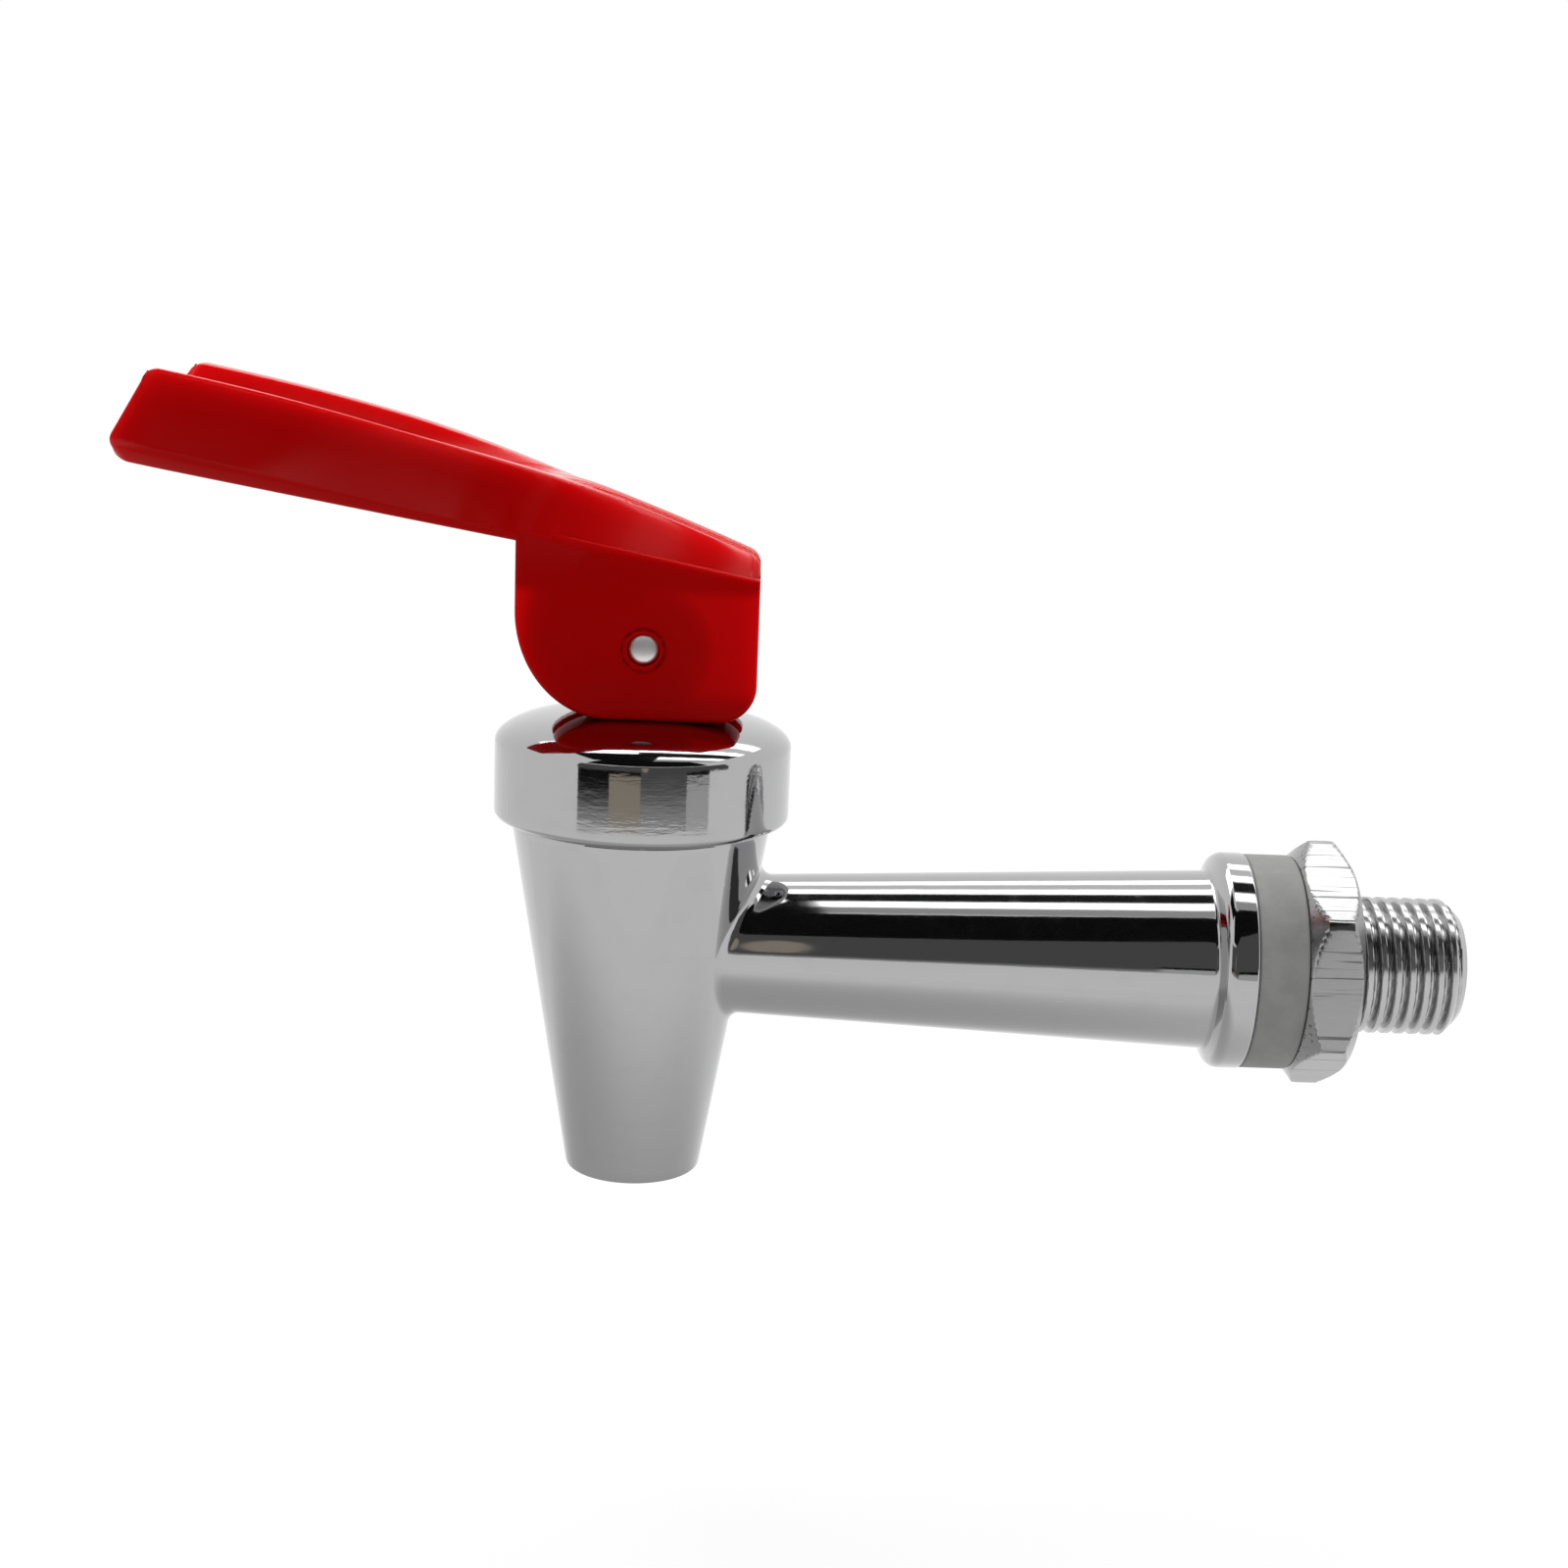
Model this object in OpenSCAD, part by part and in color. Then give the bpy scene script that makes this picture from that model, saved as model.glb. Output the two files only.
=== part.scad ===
// Self-closing lever tap for a water boiler.
// Origin: centre of the flange face that seats on the boiler wall, on the shank axis.
// +X runs along the shank into the boiler, +Z is up, and the spout hangs at -X.
// The lever is pinned to the valve stem. Pressing the paddle down rolls the cam foot of the
// lever on the bonnet, which lifts the stem and its seat cup off the seat against a spring.

/* [Spout and inlet arm] */
// Distance from the flange face to the spout axis
reach = 58; // [50:1:75]
// Drop from the shank axis to the end of the spout
spout_drop = 22.5; // [19:0.5:32]
// Outer radius at the end of the spout
spout_tip_r = 6.45; // [5.8:0.05:7.5]
// Outer radius of the spout cone under the bonnet
cone_top_r = 12.35; // [12.2:0.05:13.2]
// Height of the shoulder that the bonnet comes down to
shoulder_z = 12; // [11:0.25:14]
// Rounding of the spout's end
tip_round = 0.6; // [0.3:0.1:1]
// Outer radius of the arm at the spout axis
arm_small_r = 6.25; // [5.6:0.05:7]
// Outer radius of the arm where it meets the flange
arm_large_r = 8.75; // [7.8:0.05:9.4]

/* [Water way] */
// Radius of the outlet bore
outlet_r = 4.6; // [3.5:0.1:5]
// Height of the valve seat
seat_z = -5; // [-6:0.25:-4.5]
// Wall of the spout cone round the valve chamber
cone_wall = 1.9; // [1.5:0.1:2.2]
// Radius of the valve chamber in the neck
chamber_r = 8.8; // [8.5:0.05:9.1]
// Radius of the bore in the shank
inlet_r = 4.2; // [3.6:0.1:4.4]
// Length of the shank bore before it steps down inside the arm
inlet_length = 34; // [26:1:45]
// Radius of the narrower passage from the arm into the chamber
passage_r = 3.9; // [3:0.1:4]

/* [Flange and shank] */
// Radius of the flange
flange_r = 10.4; // [9.8:0.1:12]
// Rounding of the flange's spout side
flange_round = 1.5; // [1:0.1:1.9]
// Fillet between the arm and the flange
flange_fillet = 1.1; // [0.6:0.1:1.6]
// Major radius of the shank thread where it is free
thread_r = 6.58; // [6.4:0.01:7]
// Mean radius of the shank thread where the nut engages it
engaged_r = 6.15; // [5.9:0.01:6.3]
// Length of thread that stands clear of the lock nut
thread_free = 11; // [8:0.5:20]
// Chamfer at the end of the shank
thread_chamfer = 1.1; // [0.6:0.1:1.6]
// Thickness of the shank washer
washer_t = 4.7; // [2:0.1:6]
// Outer radius of the shank washer
washer_r = 10.3; // [9:0.1:12]
// Thickness of the lock nut
nut_t = 5.1; // [4:0.1:8]
// Lock nut size across its flats
nut_af = 21; // [18:0.5:24]
// Diameter of the nut's flat faces as a share of its size across the flats
nut_face = 0.97; // [0.9:0.01:1]
// Angle between the nut's turned-off corners and its faces
nut_bevel_angle = 38; // [25:1:45]
// Turn of the lock nut on the shank
nut_turn = 57.5; // [0:0.5:59.5]

/* [Neck and bonnet] */
// Outer radius of the neck that the bonnet screws on
neck_r = 11.5; // [11:0.05:11.8]
// Height of the neck above the shoulder
neck_h = 5.4; // [4.5:0.1:6.5]
// Outer radius of the bonnet
bonnet_r = 14; // [13.5:0.1:16]
// Height of the bonnet's skirt up to where its dome starts
skirt_h = 7.2; // [6.2:0.1:8]
// Height of the bonnet's dome
dome_h = 3; // [2.4:0.1:4]
// Radius of the flat land that the cam foot rests on
land_r = 5; // [4:0.25:7]
// Rounding of the bonnet's lower edge
skirt_round = 0.7; // [0.3:0.1:1.2]
// Gap between the bonnet and the shoulder
bonnet_gap = 0.2; // [0.1:0.05:0.5]
// Outer radius of the stem guide inside the bonnet
guide_r = 4.6; // [4.4:0.05:4.7]
// Length of the stem guide below the bonnet's ceiling
guide_h = 4; // [2:0.25:5]

/* [Valve] */
// Radius of the valve stem
stem_r = 3.5; // [3:0.05:3.6]
// Thickness of the flat tang at the top of the stem
tang_t = 3.8; // [3:0.1:4.4]
// How far the flats of the tang run down below the top of the bonnet
tang_sink = 2.4; // [2:0.1:2.6]
// Radius of the shoulder that carries the spring
collar_r = 5.7; // [5.5:0.05:5.8]
// Thickness of the shoulder that carries the spring
collar_t = 1.2; // [0.8:0.1:1.6]
// Radius of the button at the foot of the stem
button_r = 3.2; // [2.8:0.1:3.8]
// Radius of the sealing foot of the seat cup
cup_foot_r = 6.4; // [6:0.05:6.6]
// Thickness of the sealing foot of the seat cup
cup_foot_t = 3.4; // [3:0.1:3.6]
// Wall of the seat cup's sleeve
cup_wall = 0.9; // [0.7:0.05:1]
// Thickness of the clamped rim of the seat cup
cup_rim_t = 1.5; // [1:0.1:2]
// Wire diameter of the spring
wire_d = 1; // [0.7:0.05:1.1]
// Mean coil radius of the spring
coil_r = 5.2; // [5.15:0.01:5.25]
// Turns of the spring
coil_turns = 6; // [4:1:8]
// Thickness of the washer above the spring
spring_washer_t = 0.8; // [0.5:0.1:1.2]

/* [Lever] */
// Height of the pin above the bonnet's land: the foot of the cam at rest
cam_rest = 6.6; // [6:0.1:8]
// Rise of the cam foot for each radian that the paddle is pressed
cam_rise = 3.35; // [2.5:0.05:3.8]
// Distance from the pin to the front face of the foot
foot_front = 10.5; // [9:0.25:13]
// Corner radius at the bottom of the front face
foot_corner = 3.5; // [2:0.25:4.5]
// Width of the foot over both cheeks
foot_w = 12; // [10:0.25:14]
// Width of the slot between the cheeks
slot_w = 4; // [3.9:0.05:5]
// Distance from the pin up to the roof of the slot
slot_roof = 4.4; // [4:0.1:4.8]
// Radius of the pin
pin_r = 1.45; // [1.2:0.05:1.8]
// How far each end of the pin lies below the face of its cheek
pin_recess = 0.4; // [0:0.1:1]
// Distance from the pin to the top corner of the paddle's tip
paddle_reach = 43.8; // [35:0.5:60]
// Height of the top corner of the paddle's tip above the pin
paddle_rise = 24.1; // [18:0.5:32]
// Height of the paddle's top above the pin, over the front face
paddle_heel = 8.35; // [7.5:0.25:11]
// Depth of the paddle's side over the front face
heel_depth = 2.4; // [1.8:0.1:3]
// Radius of the paddle's top along its length
paddle_bow = 240; // [150:10:500]
// Depth of the tip, from its top corner to the lower edge of its side
tip_depth = 6.8; // [5:0.2:9]
// How far the tip leans out below its top corner
tip_lean = 3.9; // [0:0.1:5]
// Depth of the band under the side at the tip
band_depth = 1.7; // [1:0.1:2.6]
// Half the width of the paddle's top at its tip
paddle_tip_w = 9.8; // [8:0.1:13]
// How far the side leans in at the tip, from its top edge to its lower edge
side_draft = 0.6; // [0.2:0.1:1.2]
// Half the width of the paddle's top over the foot
paddle_neck_w = 1.9; // [1.6:0.1:4]
// Half the width of the underside at the tip
paddle_sole_w = 7.4; // [6:0.1:9]
// How far the underside starts behind the lower edge of the tip
sole_inset = 0.6; // [0.2:0.1:1.5]
// Depth of the finger hollow at the tip
hollow_depth = 2.8; // [1.5:0.1:3.6]
// Distance from the pin to the start of the finger hollow
hollow_start = 4; // [2:0.5:8]
// Width of the rim on each side of the finger hollow
rim_w = 1.5; // [1:0.1:2.4]
// Length over which the paddle's top widens from neck to tip
flare_length = 24; // [18:1:34]

/* [Hidden] */
$fn = 96;
cut = 1;                                  // overlap of a cutter past a face
fit = 0.06;                               // radial clearance of a sliding or turning fit
seat_fit = 0.02;                          // radial clearance of a piece that is screwed or pressed home
cam_gap = 0.02;                           // clearance of the cam foot over the land
seat_lip = 0.6;                           // width and depth of the relief under the valve seat
coil_sides = 8;
coil_steps = 18;
stations = 27;                            // cross-sections along the paddle
heel_crown = 0.35;                        // rise of the paddle's top between its edges over the foot
hollow_points = 8;
heel_step = 0.2;                          // drop of the underside below the side, over the front face
edge_drop = 0.05;                         // share of the hollow's depth that its edges drop by

neck_top = shoulder_z + neck_h;
bonnet_base = shoulder_z + bonnet_gap;
bonnet_top = bonnet_base + skirt_h + dome_h;
rim_seat = neck_top - cup_rim_t;          // ledge in the neck under the seat cup's rim
stack = washer_t + nut_t;
shank_end = stack + thread_free;
cone_slope = (cone_top_r - spout_tip_r) / (shoulder_z + spout_drop);
seat_outer_r = spout_tip_r + cone_slope * (seat_z + spout_drop) - cone_wall;
chamber_cone_top = seat_z + (chamber_r - seat_outer_r) / cone_slope;
arm_slope = (arm_large_r - arm_small_r) / reach;
cup_foot_top = seat_z + cup_foot_t;
cup_sleeve_r = chamber_r - 0.6;           // outside of the sleeve at the rim
rim_r = neck_r - 1.2;                     // outside of the seat cup's clamped rim
collar_top = cup_foot_top + collar_t;
washer_top = neck_top;                    // the bonnet's ceiling is level with the neck
coil_top = washer_top - spring_washer_t;
pin_z = bonnet_top + cam_rest + cam_gap;
tang_top_r = stem_r;
tang_base = bonnet_top - tang_sink;
foot_half = foot_w / 2;
back_angle = 90;                          // the cam runs on until its face stands upright
foot_back = cam_rest + cam_rise * back_angle * PI / 180;
cam_steps = 18;
heel_low = paddle_heel - heel_depth;      // lower edge of the paddle's side over the front face
tip_low = paddle_rise - tip_depth;
tip_sole = tip_low - band_depth;
bow_span = norm([paddle_reach + foot_front, paddle_rise - paddle_heel]);

function lerp(a, b, t) = a + (b - a) * t;
function clamp01(t) = max(0, min(1, t));
function smooth(t) = let (c = clamp01(t)) c * c * (3 - 2 * c);

// Everything that hangs on the spout axis is drawn about Z and then moved here.
module on_spout() translate([-reach, 0, 0]) children();
// Profiles of turned pieces on the shank axis: first value is the radius, second is x.
module about_x() rotate([0, 90, 0]) rotate([0, 0, 180]) rotate_extrude() children();
// Places what is drawn in the lever's own plane (x forward, y up from the pin) at the pin.
module at_pin() on_spout() translate([0, 0, pin_z]) children();
module plate(t) rotate([90, 0, 0]) translate([0, 0, -t / 2]) linear_extrude(t) children();

// Spout cone, neck and rounded spout end, turned about the spout axis
module cone_profile() {
    polygon([[0, -spout_drop],
             [spout_tip_r - tip_round, -spout_drop],
             [spout_tip_r + cone_slope * tip_round, -spout_drop + tip_round],
             [cone_top_r, shoulder_z],
             [neck_r, shoulder_z],
             [neck_r, neck_top - 0.4],
             [neck_r - 0.4, neck_top],
             [0, neck_top]]);
    intersection() {
        translate([spout_tip_r - tip_round, -spout_drop + tip_round]) circle(tip_round);
        translate([0, -spout_drop]) square([cone_top_r, tip_round]);
    }
}

// Valve chamber: ledge for the cup's rim, straight upper part, cone down to the seat
module chamber_profile() {
    polygon([[0, neck_top + cut],
             [rim_r + seat_fit, neck_top + cut],
             [rim_r + seat_fit, rim_seat],
             [chamber_r, rim_seat],
             [chamber_r, chamber_cone_top],
             [seat_outer_r, seat_z],
             [0, seat_z]]);
}

// Arm, flange and shank, turned about the shank axis
module arm_profile() {
    union() {
        polygon([[0, -reach], [arm_small_r, -reach], [arm_large_r, 0], [0, 0]]);
        difference() {
            translate([0, -flange_round - flange_fillet - 1])
                square([flange_r - flange_round, flange_round + flange_fillet + 1]);
            translate([flange_r - flange_round, -flange_round * 2 - flange_fillet * 0.4])
                circle(flange_fillet);
        }
        translate([flange_r - flange_round, -flange_round]) circle(flange_round);
        translate([0, -flange_round]) square([flange_r - 0.25, flange_round]);
        translate([0, -flange_round]) square([flange_r, flange_round - 0.25]);
        translate([0, -cut]) square([engaged_r, stack + cut]);
        polygon([[0, stack],
                 [thread_r, stack],
                 [thread_r, shank_end - thread_chamfer],
                 [thread_r - thread_chamfer, shank_end],
                 [0, shank_end]]);
    }
}

module body_casting() {
    color("silver") difference() {
        union() {
            on_spout() rotate_extrude() cone_profile();
            about_x() arm_profile();
        }
        on_spout() {
            rotate_extrude() chamber_profile();
            translate([0, 0, -spout_drop - cut]) cylinder(r = outlet_r, h = spout_drop + seat_z + 2 * cut);
            translate([0, 0, seat_z - 1]) cylinder(r = outlet_r + seat_lip, h = 1 + cut);
        }
        rotate([0, 90, 0]) {
            translate([0, 0, shank_end - inlet_length]) cylinder(r = inlet_r, h = inlet_length + cut);
            translate([0, 0, -reach]) cylinder(r = passage_r, h = reach);
        }
    }
}

// The dome is a quarter of an ellipse from the skirt up to the land.
module bonnet_profile() {
    dome_steps = 14;
    translate([0, bonnet_base]) {
        polygon(concat(
            [[0, 0], [bonnet_r - skirt_round, 0], [bonnet_r, skirt_round]],
            [for (i = [0 : dome_steps])
                let (a = 90 * i / dome_steps)
                [land_r + (bonnet_r - land_r) * cos(a), skirt_h + dome_h * sin(a)]],
            [[0, skirt_h + dome_h]]));
        intersection() {
            translate([bonnet_r - skirt_round, skirt_round]) circle(skirt_round);
            square([bonnet_r, skirt_round]);
        }
    }
}

module bonnet_cap() {
    color("silver") on_spout() difference() {
        rotate_extrude() bonnet_profile();
        difference() {
            translate([0, 0, bonnet_base - cut]) cylinder(r = neck_r + seat_fit, h = neck_h + cut - bonnet_gap);
            translate([0, 0, neck_top - guide_h]) cylinder(r = guide_r, h = guide_h + cut);
        }
        translate([0, 0, neck_top - guide_h - cut])
            cylinder(r = stem_r + fit, h = bonnet_top - neck_top + guide_h + 2 * cut);
    }
}

// Round shaft with a spring shoulder, a button for the seat cup and a flat tang for the lever
module valve_stem() {
    color("gainsboro") on_spout() difference() {
        union() {
            translate([0, 0, seat_z + 1]) cylinder(r = button_r, h = 1.2);
            translate([0, 0, seat_z + 1]) cylinder(r = button_r - 1.1, h = cup_foot_t);
            translate([0, 0, cup_foot_top]) cylinder(r = collar_r, h = collar_t);
            translate([0, 0, cup_foot_top]) cylinder(r = stem_r, h = tang_base - cup_foot_top);
            intersection() {
                translate([0, 0, tang_base]) cylinder(r = stem_r, h = pin_z + tang_top_r - tang_base);
                union() {
                    translate([-stem_r, -tang_t / 2, tang_base - cut])
                        cube([2 * stem_r, tang_t, pin_z - tang_base + cut]);
                    translate([0, 0, pin_z]) rotate([90, 0, 0])
                        translate([0, 0, -tang_t / 2]) cylinder(r = tang_top_r, h = tang_t);
                }
            }
        }
        translate([0, 0, pin_z]) rotate([90, 0, 0])
            translate([0, 0, -foot_half]) cylinder(r = pin_r + seat_fit / 2, h = foot_w);
    }
}

// Pin with domed ends, pressed into the tang
module pivot_pin() {
    half = foot_half - pin_recess;
    dome = 0.45;
    end = [for (i = [0 : 6]) [pin_r * cos(15 * i), half - dome + dome * sin(15 * i)]];
    color("gainsboro") at_pin() rotate([90, 0, 0]) rotate_extrude()
        polygon(concat(end, [for (i = [6 : -1 : 0]) [end[i][0], -end[i][1]]]));
}

// Silicone cup: sealing foot, thin sleeve round the spring and a rim clamped under the bonnet
module cup_profile() {
    sleeve_top_r = cup_sleeve_r - cup_wall;
    foot_inner_r = collar_r + seat_fit;
    polygon([[0, seat_z],
             [cup_foot_r - 0.4, seat_z],
             [cup_foot_r, seat_z + 0.4],
             [foot_inner_r + cup_wall, cup_foot_top],
             [cup_sleeve_r, rim_seat - 2],
             [cup_sleeve_r, rim_seat],
             [rim_r, rim_seat],
             [rim_r, neck_top],
             [sleeve_top_r, neck_top],
             [sleeve_top_r, rim_seat - 2],
             [foot_inner_r, collar_top],
             [foot_inner_r, cup_foot_top],
             [button_r - 1.1 + seat_fit, cup_foot_top],
             [button_r - 1.1 + seat_fit, seat_z + 2.2 + seat_fit],
             [button_r + seat_fit, seat_z + 2.2 + seat_fit],
             [button_r + seat_fit, seat_z + 1 - seat_fit],
             [0, seat_z + 1 - seat_fit]]);
}

module seat_cup() color("white") on_spout() rotate_extrude() cup_profile();

module spring_washer() {
    color("lightgray") on_spout() translate([0, 0, coil_top]) difference() {
        cylinder(r = coil_r + wire_d / 2 + 0.6, h = spring_washer_t);
        translate([0, 0, -cut]) cylinder(r = guide_r + fit, h = spring_washer_t + 2 * cut);
    }
}

// Round wire swept along a helix, with a closed turn at each end
module compression_spring() {
    low = collar_top + wire_d / 2;
    high = coil_top - wire_d / 2;
    n = coil_turns * coil_steps;
    closed = coil_steps;
    rings = n + 2 * closed;
    function rise(i) = low + wire_d * (min(i, closed) + max(0, i - n - closed)) / closed
        + (high - low - 2 * wire_d) * clamp01((i - closed) / n);
    points = [for (i = [0 : rings], k = [0 : coil_sides - 1])
        let (a = 360 * i / coil_steps, b = 360 * k / coil_sides, r = coil_r + wire_d * 0.49 * cos(b))
        [r * cos(a), r * sin(a), rise(i) + wire_d * 0.49 * sin(b)]];
    faces = concat(
        [[for (k = [0 : coil_sides - 1]) k]],
        [[for (k = [coil_sides - 1 : -1 : 0]) rings * coil_sides + k]],
        [for (i = [0 : rings - 1], k = [0 : coil_sides - 1])
            let (a = i * coil_sides, b = a + coil_sides, m = (k + 1) % coil_sides)
            [a + k, b + k, b + m, a + m]]);
    color("gray") on_spout() polyhedron(points, faces, convexity = 10);
}

// Side outline of the foot: cam face at the back, flat sole, rounded front corner.
// The cam face is an involute, so the stem rises by cam_rise for each radian of press.
module foot_outline(top) {
    cam = [for (i = [0 : cam_steps])
        let (a = back_angle * (1 - i / cam_steps), h = cam_rest + cam_rise * a * PI / 180)
        [-h * sin(a) - cam_rise * cos(a), -h * cos(a) + cam_rise * sin(a)]];
    polygon(concat([[-foot_back, top[0]]], cam,
        [[foot_front - foot_corner, -cam_rest], [foot_front - foot_corner, -cam_rest + foot_corner],
         [foot_front, -cam_rest + foot_corner], [foot_front, top[1]]]));
    translate([foot_front - foot_corner, -cam_rest + foot_corner]) circle(foot_corner);
}

// Heights and widths along the paddle, t = 0 at the tip and 1 over the front face
function top_x(t) = lerp(-paddle_reach, foot_front, t);
function low_x(t) = lerp(-paddle_reach - tip_lean, foot_front, t);
function sole_x(t) = lerp(-paddle_reach - tip_lean + sole_inset, foot_front, t);
function top_z(t) = lerp(paddle_rise, paddle_heel, t)
    + (sqrt(pow(paddle_bow, 2) - pow(bow_span * (t - 0.5), 2))
       - sqrt(pow(paddle_bow, 2) - pow(bow_span / 2, 2)));
function low_z(t) = lerp(tip_low, heel_low, t);
function sole_z(t) = lerp(tip_sole, heel_low - heel_step, t);
function flare(t) = smooth((-top_x(t)) / flare_length);
function top_w(t) = lerp(paddle_neck_w, paddle_tip_w, flare(t));
function low_w(t) = lerp(foot_half, paddle_tip_w - side_draft, clamp01((-low_x(t) - foot_back) / (paddle_reach - foot_back)));
function sole_w(t) = lerp(foot_half, paddle_sole_w, clamp01((-sole_x(t) - foot_back) / (paddle_reach - foot_back)));
function hollow(t) = lerp(-heel_crown, hollow_depth, smooth((-top_x(t) - hollow_start) / (flare_length - hollow_start)));
function section(t) =
    let (w = top_w(t), inner = w - min(rim_w, w * 0.45), d = hollow(t), x = top_x(t), z = top_z(t))
    concat(
        [[sole_x(t), -sole_w(t), sole_z(t)], [low_x(t), -low_w(t), low_z(t)], [x, -w, z]],
        [for (i = [0 : hollow_points])
            let (s = 2 * i / hollow_points - 1)
            [x, s * inner, z - d * (1 + edge_drop - pow(s, 4))]],
        [[x, w, z], [low_x(t), low_w(t), low_z(t)], [sole_x(t), sole_w(t), sole_z(t)]]);

module paddle() {
    count = hollow_points + 7;
    points = [for (i = [0 : stations - 1]) each section(i / (stations - 1))];
    last = (stations - 1) * count;
    half = (count - 1) / 2;
    faces = concat(
        [for (k = [0 : half - 2]) [k, count - 1 - k, count - 2 - k, k + 1]],
        [[half - 1, half + 1, half]],
        [for (k = [0 : half - 2]) [last + k, last + k + 1, last + count - 2 - k, last + count - 1 - k]],
        [[last + half - 1, last + half, last + half + 1]],
        [for (i = [0 : stations - 2], k = [0 : count - 1])
            let (a = i * count, b = a + count, m = (k + 1) % count)
            each [[a + k, b + m, b + k], [a + k, a + m, b + m]]]);
    polyhedron(points, faces, convexity = 8);
}

module lever() {
    back_top = lerp(sole_z(0), sole_z(1), (paddle_reach - foot_back) / (paddle_reach + foot_front));
    color("red") at_pin() difference() {
        union() {
            paddle();
            plate(foot_w) foot_outline([back_top + 0.4, heel_low - 0.05]);
        }
        plate(slot_w) translate([-foot_back - cut, -cam_rest - cut])
            square([foot_back + foot_front + 2 * cut, cam_rest + slot_roof + cut]);
        rotate([90, 0, 0]) translate([0, 0, -foot_w]) cylinder(r = pin_r + fit, h = 2 * foot_w);
    }
}

module shank_washer() {
    round = 0.3;
    color("darkgray") about_x() difference() {
        polygon([[engaged_r + seat_fit, 0], [washer_r - round, 0], [washer_r, round],
                 [washer_r, washer_t - round], [washer_r - round, washer_t],
                 [engaged_r + seat_fit, washer_t]]);
    }
}

// Hexagon with its corners turned off at both faces
module lock_nut() {
    corner_r = nut_af / sqrt(3);
    face_r = nut_af / 2 * nut_face;
    bevel = (corner_r - face_r) * tan(nut_bevel_angle);
    color("silver") translate([washer_t, 0, 0]) rotate([0, 90, 0]) difference() {
        intersection() {
            rotate([0, 0, nut_turn]) cylinder(r = corner_r, h = nut_t, $fn = 6);
            rotate_extrude() polygon([[0, 0], [face_r, 0], [corner_r, bevel],
                                      [corner_r, nut_t - bevel], [face_r, nut_t], [0, nut_t]]);
        }
        translate([0, 0, -cut]) cylinder(r = engaged_r + seat_fit, h = nut_t + 2 * cut);
    }
}

body_casting();
bonnet_cap();
lever();
pivot_pin();
valve_stem();
compression_spring();
spring_washer();
seat_cup();
shank_washer();
lock_nut();
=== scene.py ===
"""Studio scene of a self-closing lever faucet for a water boiler.

All sizes are written in millimetres in the faucet's own frame: the origin is the centre of
the flange face, +X runs along the shank, +Z is up and the spout axis stands at x = -58.
"""

from __future__ import annotations

import logging
import math
from dataclasses import dataclass, field
from enum import Enum
from typing import Any, Callable, Iterable, Mapping, Sequence

import bmesh
import bpy
import numpy as np
from mathutils import Matrix, Vector

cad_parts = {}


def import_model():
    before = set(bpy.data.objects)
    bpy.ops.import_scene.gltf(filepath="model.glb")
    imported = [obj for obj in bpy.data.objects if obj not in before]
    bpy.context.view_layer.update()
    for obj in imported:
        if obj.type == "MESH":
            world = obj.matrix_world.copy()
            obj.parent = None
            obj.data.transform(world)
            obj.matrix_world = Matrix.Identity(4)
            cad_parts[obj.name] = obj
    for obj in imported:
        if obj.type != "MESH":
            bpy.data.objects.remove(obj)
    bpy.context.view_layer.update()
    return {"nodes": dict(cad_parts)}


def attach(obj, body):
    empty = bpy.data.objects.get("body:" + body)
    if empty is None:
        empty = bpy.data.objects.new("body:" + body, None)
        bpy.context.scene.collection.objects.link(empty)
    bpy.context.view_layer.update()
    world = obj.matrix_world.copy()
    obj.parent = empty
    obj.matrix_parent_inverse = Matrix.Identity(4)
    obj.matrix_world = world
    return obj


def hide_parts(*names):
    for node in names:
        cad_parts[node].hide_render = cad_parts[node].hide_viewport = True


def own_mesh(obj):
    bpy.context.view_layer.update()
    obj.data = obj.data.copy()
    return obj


LOG = logging.getLogger("faucet")
MM = 0.001
SPOUT_X = -58.0
PIN_Z = 29.02
CAM_R = 6.6
CAM_RISE = 3.35
FOOT_FRONT = 10.5
FOOT_BACK = CAM_R + CAM_RISE * math.pi / 2
Point2 = tuple[float, float]
Corner = tuple[float, float, float]
Tint = tuple[float, float, float, float]


class Body(str, Enum):
    """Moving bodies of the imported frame."""

    TAP = "tap"
    REST = "spring_rest"
    VALVE = "valve"
    HANDLE = "handle"


class Op(str, Enum):
    """Boolean operations on meshes."""

    JOIN = "UNION"
    CUT = "DIFFERENCE"


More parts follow.
